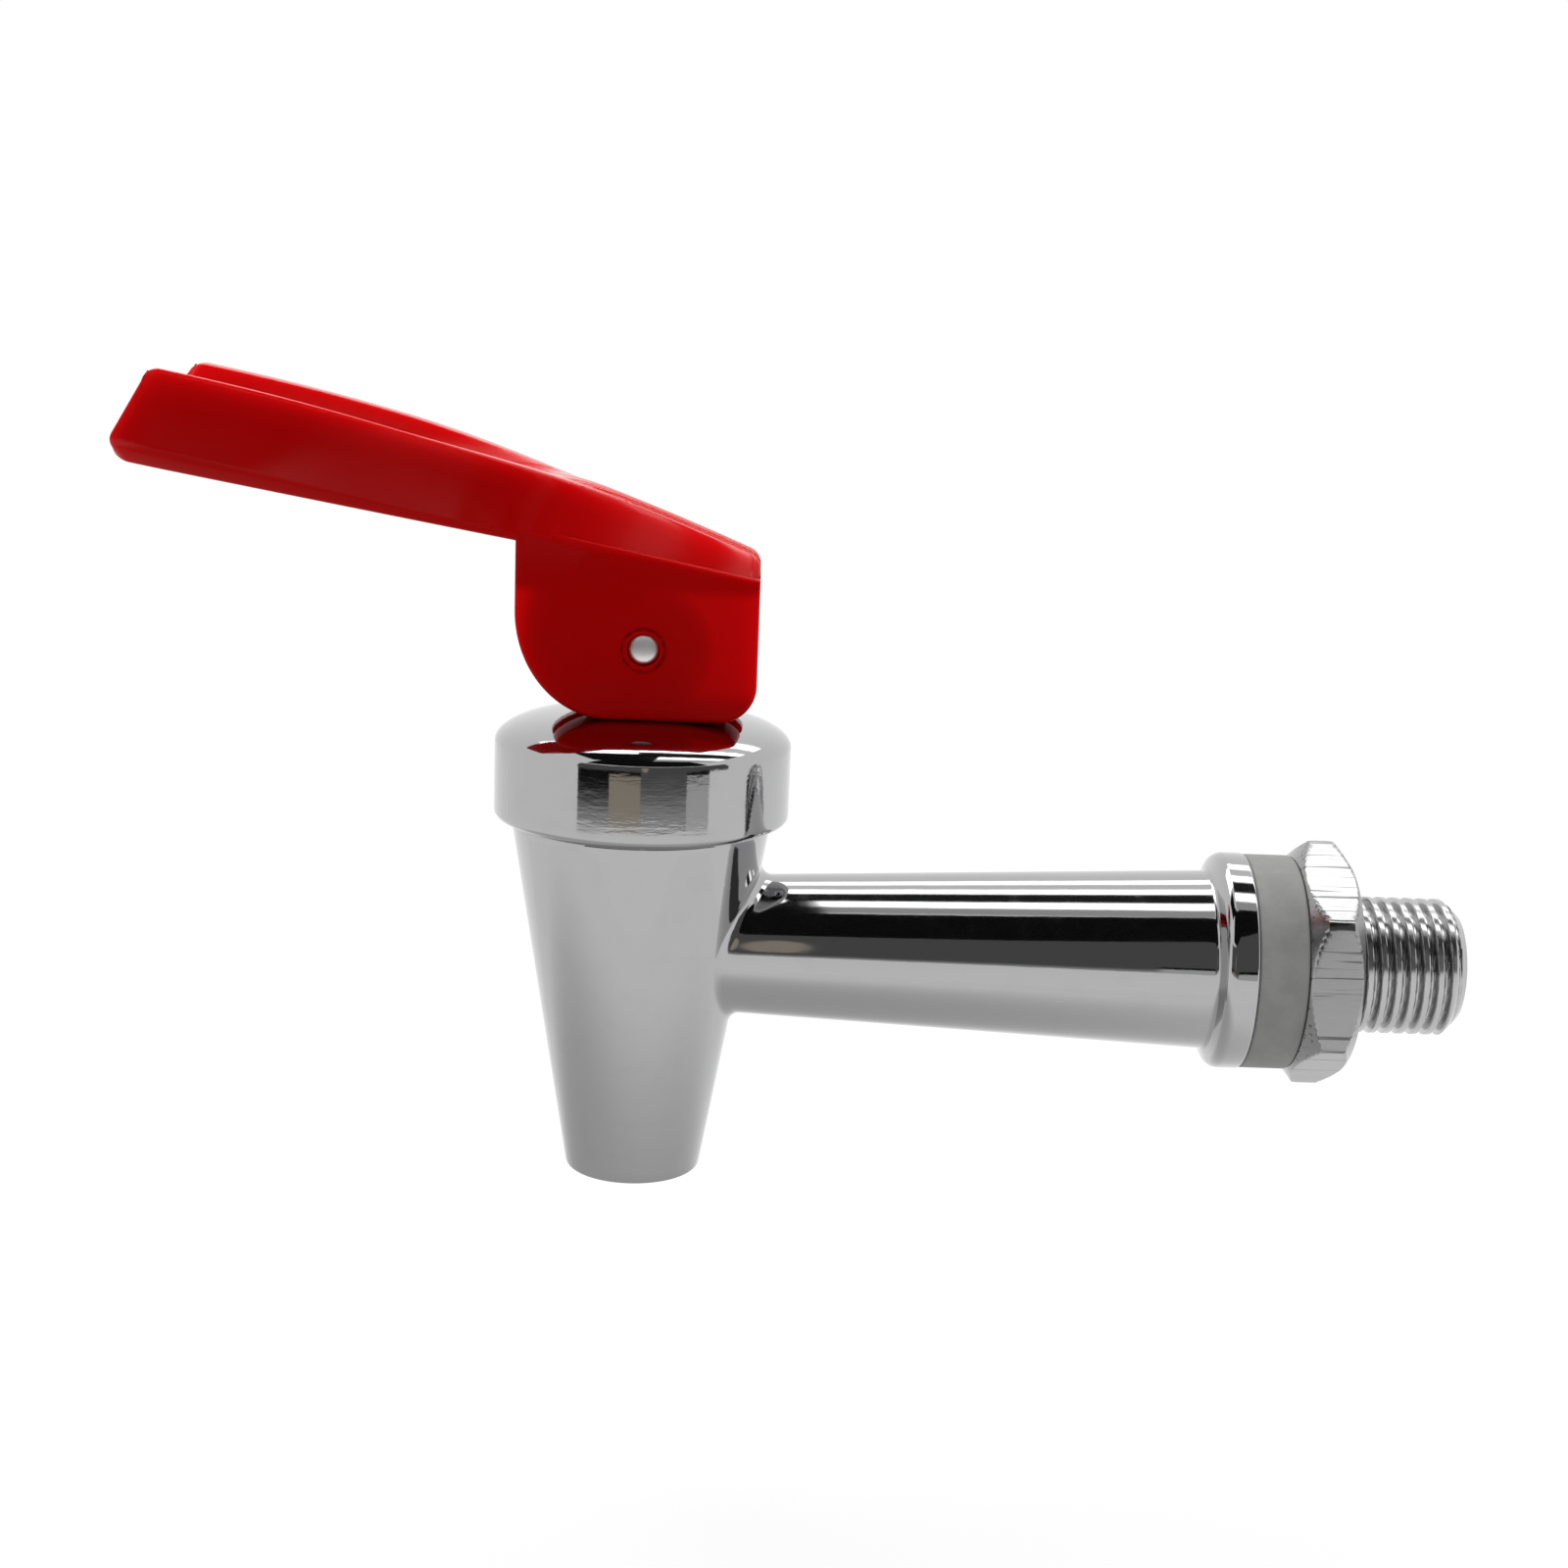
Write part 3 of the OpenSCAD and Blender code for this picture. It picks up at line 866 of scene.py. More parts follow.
@dataclass
class TapBody:
    """The cast body: tapered spout, inlet arm, flange and the bored shank."""

    palette: Palette
    spout_end: float = -22.5
    tip_r: float = 6.45
    shoulder_r: float = 12.35
    shoulder_z: float = 12.0
    neck_r: float = 11.5
    neck_top: float = 17.4
    lip: float = 1.18
    lip_depth: float = 1.5
    outlet_r: float = 4.6
    seat_z: float = -5.0
    seat_r: float = 7.54
    groove: float = 0.6
    groove_depth: float = 1.0
    chamber_r: float = 8.8
    chamber_foot: float = 2.4
    arm_small_r: float = 6.25
    arm_large_r: float = 8.75
    arm_fillet: float = 1.15
    arm_end: float = -8.0
    arm_points: int = 70
    collar_x: float = -3.5
    flange_x: float = -2.7
    flange_r: float = 10.4
    shank_r: float = 6.15
    thread_x: float = 9.6
    inlet_r: float = 4.2
    inlet_end: float = -13.2
    passage_r: float = 3.9
    passage_end: float = -49.0
    patch_half: float = math.radians(70.0)
    patch_low: float = -11.0
    patch_high: float = 10.5
    patch_cols: int = 56
    patch_rows: int = 43

    @property
    def spout_slope(self) -> float:
        """How much the spout widens in each millimetre of height."""
        return (self.shoulder_r - self.tip_r) / (self.shoulder_z - self.spout_end)

    def spout_r(self, z: Any) -> Any:
        """Outer radius of the spout at a height."""
        return self.tip_r + self.spout_slope * (z - self.spout_end)

    def arm_r(self, x: Any) -> Any:
        """Outer radius of the arm at a place along the shank axis."""
        return self.arm_small_r + (self.arm_large_r - self.arm_small_r) * (x - SPOUT_X) / -SPOUT_X

    def frame_of_patch(self) -> np.ndarray:
        """Walks round the patch of the spout that the arm grows from.

        Returns:
            Angle and height of each point, counter-clockwise from the lower right.
        """
        half, low, high = self.patch_half, self.patch_low, self.patch_high
        corners = ((half, low), (half, high), (-half, high), (-half, low), (half, low))
        sides = []
        for i, (start, end) in enumerate(zip(corners, corners[1:])):
            spans = self.patch_cols if i % 2 else self.patch_rows
            sides.append(np.linspace(start, end, spans, endpoint=False))
        return np.vstack(sides)

    def fillet(self, turn: np.ndarray, steps: int = 8) -> np.ndarray:
        """Rolls a ball along the corner between the arm and the spout.

        Args:
            turn: Angles round the arm, in radians.
            steps: Spans across the fillet.

        Returns:
            Rows of points relative to the spout axis, from the spout to the arm.
        """
        slope_s = self.spout_slope
        slope_a = (self.arm_large_r - self.arm_small_r) / -SPOUT_X
        ks, ka = math.hypot(1.0, slope_s), math.hypot(1.0, slope_a)
        x = np.full_like(turn, self.shoulder_r)
        for _ in range(60):
            r = self.arm_small_r + slope_a * x + self.arm_fillet * ka
            y, z = r * np.cos(turn), r * np.sin(turn)
            off = self.spout_r(z) + self.arm_fillet * ks
            x = np.sqrt(off * off - y * y)
        ball = np.column_stack([x, y, z])
        around = np.arctan2(y, x)
        down, back = np.full_like(x, -slope_s), np.full_like(x, -slope_a)
        from_spout = np.column_stack([np.cos(around), np.sin(around), down]) / ks
        from_arm = np.column_stack([back, np.cos(turn), np.sin(turn)]) / ka
        angle = np.arccos(np.clip((from_spout * from_arm).sum(1), -1.0, 1.0))[:, None]
        rows = []
        for w in np.arange(steps + 1) / steps:
            near, far = np.sin((1 - w) * angle), np.sin(w * angle)
            normal = (near * from_spout + far * from_arm) / np.sin(angle)
            rows.append(ball - self.arm_fillet * normal)
        return np.array(rows)

    def spout(self, skin: Skin) -> None:
        """Adds the spout, its neck and its insides, apart from the arm's patch.

        Args:
            skin: The skin that is added to.
        """
        cols, rows = self.patch_cols, self.patch_rows
        mouth_r, mouth_z = self.neck_r - self.lip, self.neck_top - self.lip_depth
        groove_r, groove_z = self.outlet_r + self.groove, self.seat_z - self.groove_depth
        whole = round(2.0 * math.pi / (2.0 * self.patch_half / cols))
        turn = -self.patch_half + np.arange(whole) * 2.0 * math.pi / whole
        profile = rounded(
            [
                (self.spout_r(self.patch_low), self.patch_low, 0),
                (self.tip_r, self.spout_end, 0.6),
                (self.outlet_r, self.spout_end, 0.3),
                (self.outlet_r, groove_z, 0),
                (groove_r, groove_z, 0),
                (groove_r, self.seat_z, 0),
                (self.seat_r, self.seat_z, 0),
                (self.chamber_r, self.chamber_foot, 0),
                (self.chamber_r, mouth_z, 0),
                (mouth_r, mouth_z, 0),
                (mouth_r, self.neck_top, 0),
                (self.neck_r, self.neck_top, 0.4),
                (self.neck_r, self.shoulder_z, 0.2),
                (self.shoulder_r, self.shoulder_z, 0.3),
                (self.spout_r(self.patch_high), self.patch_high, 0),
            ]
        )
        skin.grid(turned(dense(profile, 0.7), turn, True))
        heights = np.linspace(self.patch_low, self.patch_high, rows + 1)
        back = turn[cols:].tolist() + [turn[0] + 2.0 * math.pi]
        side = np.column_stack([self.spout_r(heights), heights])
        skin.grid(turned(side, back, True), wrap=False)

    def build(self) -> bpy.types.Object:
        """Builds the body.

        Returns:
            The finished piece.
        """
        skin = Skin("tap_body")
        self.spout(skin)
        rim = self.frame_of_patch()
        mid = 0.5 * (self.patch_low + self.patch_high)
        half = 0.5 * (self.patch_high - self.patch_low)
        turn = np.arctan2((rim[:, 1] - mid) / half, rim[:, 0] / self.patch_half)
        blend = self.fillet(turn)
        hole = np.column_stack([np.arctan2(blend[0][:, 1], blend[0][:, 0]), blend[0][:, 2]])
        sheets = []
        for w in np.linspace(0.0, 1.0, 17) ** 1.25:
            angle, z = (hole + (rim - hole) * w).T
            r = self.spout_r(z)
            sheets.append(np.column_stack([r * np.cos(angle), r * np.sin(angle), z]))
        shift = np.array([SPOUT_X, 0.0, 0.0])
        skin.grid(np.array(sheets) + shift)
        skin.grid(blend + shift)
        start = blend[-1][:, 0] + SPOUT_X
        arm = []
        for w in np.linspace(0.0, 1.0, self.arm_points):
            x = start + (self.arm_end - start) * w
            r = self.arm_r(x)
            arm.append(np.column_stack([x, r * np.cos(turn), r * np.sin(turn)]))
        skin.grid(np.array(arm))
        collar = rounded(
            [
                (self.arm_r(self.arm_end), self.arm_end, 0),
                (self.arm_r(self.collar_x), self.collar_x, 0.55),
                (self.flange_r, self.flange_x, 1.25),
                (self.flange_r, 0.0, 0.25),
                (self.shank_r, 0.0, 0),
                (self.shank_r, self.thread_x, 0),
                (self.inlet_r, self.thread_x, 0),
                (self.inlet_r, self.inlet_end, 0),
                (self.passage_r, self.inlet_end, 0),
                (self.passage_r, self.passage_end, 0),
            ],
            steps=10,
        )
        skin.grid(turned(dense(collar, 1.2), turn, False))
        end = turned(collar[-1:], turn, False)[0]
        skin.cap(end, (self.passage_end, 0.0, 0.0))
        thing = dressed(skin.build(), self.palette.chrome)
        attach(thing, Body.TAP.value)
        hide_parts("body_casting")
        return thing


@dataclass
class ShankThread:
    """The pipe thread on the free end of the shank, a sleeve with a helical ridge."""

    palette: Palette
    start: float = 9.8
    end: float = 20.8
    crest_r: float = 6.58
    root_r: float = 5.76
    pitch: float = 1.337
    bore_r: float = 4.2
    chamfer: float = 1.35
    lip: float = 0.3
    rows: int = 170
    cols: int = 128

    SIZES = ("Start", "Length", "Crest radius", "Depth", "Pitch", "Bore radius", "Chamfer")

    def tree(self) -> bpy.types.GeometryNodeTree:
        """Builds the node tree that wraps a grid into the threaded sleeve.

        Returns:
            The tree, with its sizes as named inputs, in metres.
        """
        tree = bpy.data.node_groups.new("threaded_sleeve", "GeometryNodeTree")
        face = tree.interface
        face.new_socket("Geometry", in_out="INPUT", socket_type="NodeSocketGeometry")
        for name in self.SIZES:
            face.new_socket(name, in_out="INPUT", socket_type="NodeSocketFloat")
        face.new_socket("Finish", in_out="INPUT", socket_type="NodeSocketMaterial")
        face.new_socket("Geometry", in_out="OUTPUT", socket_type="NodeSocketGeometry")
        kit = NodeKit(tree)
        given = kit.node("NodeGroupInput").socket.node
        size = {name: Wire(kit, given.outputs[name]) for name in (*self.SIZES, "Finish")}
        n, m, lip = self.rows, self.cols, self.lip * MM
        grid = {"Size X": 1.0, "Size Y": 1.0, "Vertices X": n + 5, "Vertices Y": m + 1}
        sheet = kit.node("GeometryNodeMeshGrid", None, grid, "Mesh")
        index = kit.node("GeometryNodeInputIndex")
        row = ((index + 0.5) / float(m + 1)).floor()
        turn = (index - row * float(m + 1)) * (2.0 * math.pi / m)
        past = (row - float(n)).most(0.0)
        inside = past.above(0.5) * (1.0 - past.above(3.5))
        along = size["Start"] + (row / float(n)).least(1.0) * size["Length"]
        along = along - past.above(1.5) * lip
        along = along - past.above(2.5) * (size["Length"] - lip)
        phase = (along / size["Pitch"] - turn / (2.0 * math.pi) + 64.0).fraction()
        ridge = ((phase - 0.5).size() * 2.0).ramp(0.1, 0.66)
        thread = size["Crest radius"] - size["Depth"] * (1.0 - ridge)
        left = size["Start"] + size["Length"] - along
        taper = size["Crest radius"] - (size["Chamfer"] - left).most(0.0)
        outer = thread.least(taper)
        inner = size["Bore radius"] + (1.0 - past.above(1.5)) * lip
        radius = outer * (1.0 - inside) + inner * inside
        place = kit.vector(along, radius * turn.cosine(), radius * turn.sine())
        made = sheet
        for kind, inputs in (
            ("SetPosition", {"Position": place}),
            ("MergeByDistance", {"Distance": 2e-6}),
            ("RealizeInstances", {}),
            ("SetMaterial", {"Material": size["Finish"]}),
        ):
            made = kit.node(f"GeometryNode{kind}", None, {0: made, **inputs})
        kit.node("NodeGroupOutput", None, {"Geometry": made})
        return tree

    def build(self) -> bpy.types.Object:
        """Runs the tree and keeps its result as a plain mesh.

        Returns:
            The finished piece.
        """
        thing = linked("shank_thread", bpy.data.meshes.new("shank_thread"))
        step = thing.modifiers.new("thread", "NODES")
        step.node_group = self.tree()
        length, depth = self.end - self.start, self.crest_r - self.root_r
        sizes = (self.start, length, self.crest_r, depth, self.pitch, self.bore_r, self.chamfer)
        values = {name: size * MM for name, size in zip(self.SIZES, sizes)}
        values["Finish"] = self.palette.thread
        for item in step.node_group.interface.items_tree:
            if item.in_out == "INPUT" and item.name in values:
                step[item.identifier] = values[item.name]
        applied(thing)
        tidy_mesh(thing, 40.0)
        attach(thing, Body.TAP.value)
        return thing


@dataclass
class Bonnet:
    """The screwed cap over the valve, with its domed top and the stem's guide."""

    palette: Palette
    base: float = 12.2
    radius: float = 14.0
    skirt: float = 7.2
    dome: float = 3.0
    land_r: float = 5.0
    neck_r: float = 11.52
    ceiling: float = 17.4
    guide_r: float = 4.6
    guide_foot: float = 13.4
    bore_r: float = 3.56

    def build(self) -> bpy.types.Object:
        """Builds the cap.

        Returns:
            The finished piece.
        """
        wall = rounded(
            [
                (self.neck_r, self.base, 0.15),
                (self.radius, self.base, 0.75),
                (self.radius, self.base + self.skirt, 0),
            ],
            steps=10,
        )
        swing = np.radians(np.linspace(0.0, 90.0, 49)[1:])
        crown = np.column_stack(
            [
                self.land_r + (self.radius - self.land_r) * np.cos(swing),
                self.base + self.skirt + self.dome * np.sin(swing),
            ]
        )
        top = self.base + self.skirt + self.dome
        inside = rounded(
            [
                (self.land_r, top, 0),
                (self.bore_r, top, 0.12),
                (self.bore_r, self.guide_foot, 0),
                (self.guide_r, self.guide_foot, 0.1),
                (self.guide_r, self.ceiling, 0),
                (self.neck_r, self.ceiling, 0),
                (self.neck_r, self.base, 0),
            ]
        )
        line = np.vstack([dense(wall, 0.5), crown, dense(inside[1:], 0.6)])
        skin = Skin("bonnet")
        skin.grid(turned(line, circle(192), True))
        thing = dressed(skin.build(28.0), self.palette.cap)
        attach(thing, Body.TAP.value)
        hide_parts("bonnet_cap")
        return thing


@dataclass
class Lever:
    """The red lever: a dished paddle that flares to its tip, on a forked cam foot.

    Its sizes are counted from the pin, x towards the shank and z up.
    """

    palette: Palette
    rest: float = CAM_R
    rise: float = CAM_RISE
    front: float = FOOT_FRONT
    back: float = FOOT_BACK
    foot_edge: float = 0.45
    front_corner: float = 3.5
    width: float = 12.0
    slot: float = 4.0
    roof: float = 4.4
    pin_hole: float = 1.51
    drill: float = 20.0
    reach: float = 43.8
    lift: float = 24.1
    heel: float = 8.35
    heel_depth: float = 2.4
    heel_sole: float = 2.6
    bow: float = 240.0
    tip_depth: float = 6.8
    tip_lean: float = 3.9
    band: float = 1.7
    band_in: float = 0.6
    tip_w: float = 9.8
    neck_w: float = 1.9
    sole_w: float = 7.4
    sole_in: float = 0.25
    hollow: float = 2.8
    hollow_x: float = 4.0
    crown: float = 0.35
    rim: float = 1.5
    flare: float = 24.0
    end_r: float = 0.9
    stations: int = 97
    dish_points: int = 22

    @staticmethod
    def smooth(value: float) -> float:
        """Smooth step from 0 to 1."""
        c = min(1.0, max(0.0, value))
        return c * c * (3.0 - 2.0 * c)

    def section(self, t: float) -> tuple[np.ndarray, tuple[float, ...]]:
        """Cross-section of the paddle.

        Args:
            t: 0 at the tip and 1 over the front face.

        Returns:
            The outline as rows of (y, z), and the top's x and z with the lower edge's x and z.
        """
        span = math.hypot(self.reach + self.front, self.lift - self.heel)
        x = -self.reach + (self.front + self.reach) * t
        low_x = -self.reach - self.tip_lean + (self.front + self.reach + self.tip_lean) * t
        arc, chord = (math.sqrt(self.bow**2 - (span * s) ** 2) for s in (t - 0.5, 0.5))
        top = self.lift + (self.heel - self.lift) * t + (arc - chord)
        edge = self.lift - self.tip_depth
        low = edge * (1 - t) + (self.heel - self.heel_depth) * t
        sole = (edge - self.band) * (1 - t) + (self.heel - self.heel_sole) * t
        w = self.neck_w + (self.tip_w - self.neck_w) * self.smooth(-x / self.flare)
        out = min(1.0, max(0.0, (-low_x - self.back) / (self.reach - self.back)))
        half = self.width / 2
        low_w = half + (self.tip_w - self.band_in - half) * out
        sole_w = half - self.sole_in + (self.sole_w - half + self.sole_in) * out
        inner = w - min(self.rim, w * 0.45)
        sink = self.smooth((-x - self.hollow_x) / (self.flare - self.hollow_x))
        deep = -self.crown + (self.hollow + self.crown) * sink
        shares = np.linspace(0.0, 0.96, self.dish_points)
        half_line: list[Corner] = [
            *((min(inner, sole_w - 0.9) * s, sole, 0.0) for s in shares),
            (sole_w, sole, 0.7),
            (low_w + 0.1, low, 0.4 + 1.4 * out),
            *((low_w + (w - low_w) * s, low + (top - low) * s, 0.0) for s in (0.6, 0.8, 0.88)),
            (w, top, 0.5),
            (inner, top - 0.05 * deep, 0.4),
            *((inner * s, top - deep * (1.05 - s**4), 0.0) for s in shares[::-1]),
        ]
        corners = half_line + [(-y, z, r) for y, z, r in half_line[-2:0:-1]]
        return rounded(corners, closed=True, steps=5), (x, top, low_x, low)

    def paddle(self) -> bpy.types.Object:
        """Lofts the paddle, with rounded ends.

        Returns:
            The paddle, before the foot is joined to it.
        """
        length = self.reach + self.front

        def end(steps: int, side: float) -> list[Corner]:
            """Rounds an end of the paddle.

            Args:
                steps: Stations in the rounding.
                side: Inset to the side for each millimetre of inset in height.

            Returns:
                The stations' shares of the length, insets in height and insets to the side.
            """
            turns = np.linspace(0.0, 1.0, steps) * math.pi / 2
            insets = self.end_r * (1.0 - np.sin(turns))
            return list(zip(self.end_r * (1.0 - np.cos(turns)) / length, insets, side * insets))

        middle = np.linspace(1.2 / length, 1.0 - 1.1 / length, self.stations)
        plan = end(8, 0.6) + [(t, 0.0, 0.0) for t in middle]
        plan += [(1.0 - t, dz, dy) for t, dz, dy in reversed(end(7, 0.25))]
        rows = []
        for t, dz, dy in plan:
            line, (x, top, low_x, low) = self.section(t)
            y, z = (line - outward(line) * np.array([dy, dz])).T
            down = (top - z) / (top - low)
            lean = 1.05 * (down - 2.6 * np.maximum(down - 0.85, 0.0) ** 2)
            rows.append(np.column_stack([SPOUT_X + x + (low_x - x) * lean, y, PIN_Z + z]))
        skin = Skin("press_lever")
        grid = np.array(rows)
        skin.grid(grid)
        for ring in (grid[0], grid[-1]):
            self.close(skin, ring)
        return skin.build(40.0)

    def close(self, skin: Skin, ring: np.ndarray) -> None:
        """Closes an end of the paddle with strips that follow its hollow.

        Args:
            skin: The skin that is added to.
            ring: The end's outline, which starts in the middle of its underside.
        """
        n, middle = self.dish_points, len(ring) // 2
        hollow = ring[middle - n + 1 : middle + n]
        under = np.vstack([ring[1 - n :], ring[:n]])[::-1]
        skin.grid(np.array([hollow, under]), wrap=False)
        for side in (ring[n - 1 : middle - n + 2], ring[middle + n - 1 : len(ring) - n + 2]):
            skin.cap(side, side.mean(axis=0))

    def foot_line(self) -> np.ndarray:
        """Draws the foot from the side: involute cam, flat sole and rounded front corner.

        Returns:
            The outline as rows of (x, z).
        """
        a = np.radians(np.linspace(90.0, 0.0, 49))
        h = self.rest + self.rise * a
        sine, cosine = np.sin(a), np.cos(a)
        cam = np.column_stack([-h * sine - self.rise * cosine, -h * cosine + self.rise * sine])
        shut_t = (self.reach - self.back) / (self.reach + self.front)
        ceiling = self.section(shut_t)[1][3] + 0.4
        toe = rounded(
            [
                (cam[-1][0], -self.rest, 0),
                (self.front, -self.rest, self.front_corner),
                (self.front, self.heel - 1.6, 0),
                (-self.back, ceiling, 0),
                (cam[0][0], cam[0][1], 0),
            ],
            steps=16,
        )
        return np.vstack([cam, toe[1:-1]])

    def foot(self) -> bpy.types.Object:
        """Builds the foot as a thick plate with rounded outer edges.

        Returns:
            The foot, which is joined to the paddle.
        """
        line = self.foot_line()
        normal = outward(line)
        swing = np.linspace(0.0, math.pi / 2, 7)
        sides = self.width / 2 - self.foot_edge * (1 - np.sin(swing))
        upper = list(zip(sides, self.foot_edge * (1 - np.cos(swing))))
        levels = [(-y, inset) for y, inset in reversed(upper)] + upper
        skin = Skin("foot")
        skin.prism(np.array([beside_pin(line - normal * inset, y) for y, inset in levels]))
        return skin.build(40.0)

    def block(self, low: Sequence[float], high: Sequence[float]) -> bpy.types.Object:
        """Builds a box, used as a cutter.

        Args:
            low: Its corner with the lowest coordinates.
            high: The opposite corner.

        Returns:
            The box.
        """
        x, y, z = zip(low, high)
        ring = np.array([(x[0], y[0]), (x[1], y[0]), (x[1], y[1]), (x[0], y[1])], float)
        skin = Skin("block")
        skin.prism(np.array([np.column_stack([ring, np.full(4, h)]) for h in z]))
        return skin.build()

    def rod(self, radius: float, half: float) -> bpy.types.Object:
        """Builds a round cutter on the pin's axis.

        Args:
            radius: Its radius.
            half: Half of its length.

        Returns:
            The cutter.
        """
        skin = Skin("rod")
        skin.prism(np.array([beside_pin(radius * round_line(64), y) for y in (-half, half)]))
        return skin.build()

    def glow(self, thing: bpy.types.Object) -> None:
        """Writes how near each point is to a lit edge, for the painted glow, and which points lie
        on the rim.

        Args:
            thing: The lever.
        """
        mesh = thing.data
        co = np.zeros(len(mesh.vertices) * 3)
        mesh.vertices.foreach_get("co", co)
        x, y, z = (co.reshape(-1, 3) / MM - (SPOUT_X, 0.0, PIN_Z)).T
        t = np.clip((x + self.reach) / (self.reach + self.front), 0.0, 1.0)
        ts = np.linspace(0.0, 1.0, 60)
        marks = [self.section(float(v))[1] for v in ts]
        top, low = (np.interp(t, ts, [m[i] for m in marks]) for i in (1, 3))

        def fade(distance: np.ndarray, reach: float) -> np.ndarray:
            """Falls from 1 at zero, by a factor of e over each reach."""
            return np.exp(-np.maximum(distance, 0.0) / reach)

        # Painted glow: values near the top edge and the tip brighten the red's colour.
        lean = self.tip_lean * np.clip((top - z) / self.tip_depth, 0.0, 1.0)
        upper = fade(top - z, 1.1) * (z > low)
        tip = fade(x + self.reach + lean, 2.0) * (z > low - 2.0)
        value = np.clip(0.95 * upper + 0.5 * tip, 0.0, 1.0)
        flank = (x < -self.back - 1.0) * (np.abs(y) > self.width / 2)
        rim = fade(top - z - 0.12, 0.16) * (np.abs(y) > 0.5)
        rim += 0.4 * np.exp(-(((z - low) / 0.25) ** 2)) * flank
        for name, values in (("edge_glow", value), ("rim_gloss", rim)):
            layer = mesh.attributes.new(name, "FLOAT", "POINT")
            layer.data.foreach_set("value", values.astype(np.float32))

    def build(self) -> bpy.types.Object:
        """Builds the lever.

        Returns:
            The finished piece.
        """
        thing = self.paddle()
        carve(thing, self.foot(), Op.JOIN)
        low = (SPOUT_X - self.back - 2, -self.slot / 2, PIN_Z - self.rest - 2)
        high = (SPOUT_X + self.front + 2, self.slot / 2, PIN_Z + self.roof)
        carve(thing, self.block(low, high), Op.CUT)
        carve(thing, self.rod(self.pin_hole, self.drill), Op.CUT)
        tidy_mesh(thing, 30.0)
        self.glow(thing)
        dressed(thing, self.palette.red)
        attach(thing, Body.HANDLE.value)
        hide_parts("lever")
        return thing


@dataclass
class PivotPin:
    """The steel pin with domed, polished ends."""

    palette: Palette
    radius: float = 1.45
    half: float = 5.6
    dome: float = 0.3

    def build(self) -> bpy.types.Object:
        """Builds the pin.

        Returns:
            The finished piece.
        """
        swing = np.radians(np.linspace(0.0, 90.0, 9))[:-1]
        heights = self.half - self.dome * (1 - np.sin(swing))
        ends = list(zip(self.radius * np.cos(swing), heights))
        line = [(r, -h) for r, h in reversed(ends)] + ends
        rows = np.array([beside_pin(r * round_line(48), h) for r, h in line])
        skin = Skin("pin")
        skin.grid(rows)
        skin.cap(rows[0], (SPOUT_X, -self.half, PIN_Z))
        skin.cap(rows[-1], (SPOUT_X, self.half, PIN_Z))
        thing = dressed(skin.build(50.0), self.palette.pin)
        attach(thing, Body.VALVE.value)
        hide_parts("pivot_pin")
        return thing


@dataclass
class WallClamp:
    """The grey washer and the hexagonal lock nut on the shank."""

    palette: Palette
    washer_t: float = 4.7
    washer_r: float = 10.3
    nut_t: float = 5.1
    across: float = 21.0
    bore_r: float = 6.17
    turn: float = 57.5
    face_share: float = 0.97
    bevel: float = 38.0
    edge: float = 0.17
    soft: float = 0.1

    def washer(self) -> bpy.types.Object:
        """Builds the washer.

        Returns:
            The finished piece.
        """
        line = rounded(
            [
                (self.bore_r, 0.0, 0),
                (self.washer_r, 0.0, 0.35),
                (self.washer_r, self.washer_t, 0.35),
                (self.bore_r, self.washer_t, 0),
                (self.bore_r, 0.0, 0),
            ]
        )
        skin = Skin("washer")
        skin.grid(turned(dense(line, 0.8), circle(128), False))
        thing = dressed(skin.build(), self.palette.washer)
        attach(thing, Body.TAP.value)
        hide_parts("shank_washer")
        return thing

    def nut_r(self, angle: np.ndarray, depth: float) -> np.ndarray:
        """Outer radius of the nut with softened edges.

        Args:
            angle: Angles from a corner, in radians.
            depth: Distance from the nearer face.

        Returns:
            The radius at each angle.
        """
        flat = self.across / 2
        sector = (angle + math.pi / 6) % (math.pi / 3) - math.pi / 6
        hexagon = flat / np.cos(math.pi / 6 - np.abs(sector))
        corner = flat / math.cos(math.pi / 6)
        bevel = flat * self.face_share + depth / math.tan(math.radians(self.bevel))
        hexagon = np.minimum(hexagon, corner - self.edge)
        k = self.soft
        lap = np.clip(0.5 + 0.5 * (bevel - hexagon) / k, 0.0, 1.0)
        return bevel + (hexagon - bevel) * lap - k * lap * (1.0 - lap)

    def nut(self) -> bpy.types.Object:
        """Builds the nut.

        Returns:
            The finished piece.
        """
        a = circle(360)
        world = a + math.radians(self.turn)
        depths = (0.0, 0.05, 0.12, 0.2, 0.3, 0.42, 0.56, 0.72, 0.9, 1.1, 1.35, 1.7, 2.2)
        line = [(d, self.nut_r(a, d)) for d in (*depths, self.nut_t / 2)]
        line += [(self.nut_t - d, self.nut_r(a, d)) for d in reversed(depths)]
        line += [
            (self.nut_t, self.bore_r + 0.35),
            (self.nut_t - 0.3, self.bore_r),
            (0.0, self.bore_r),
            line[0],
        ]
        rows = []
        for x, r in line:
            level = np.full(len(a), self.washer_t + x)
            rows.append(np.column_stack([level, r * np.sin(world), -r * np.cos(world)]))
        skin = Skin("nut")
        skin.grid(np.array(rows))
        thing = dressed(skin.build(24.0), self.palette.nut)
        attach(thing, Body.TAP.value)
        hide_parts("lock_nut")
        return thing

    def build(self) -> list[bpy.types.Object]:
        """Builds both pieces."""
        return [self.washer(), self.nut()]


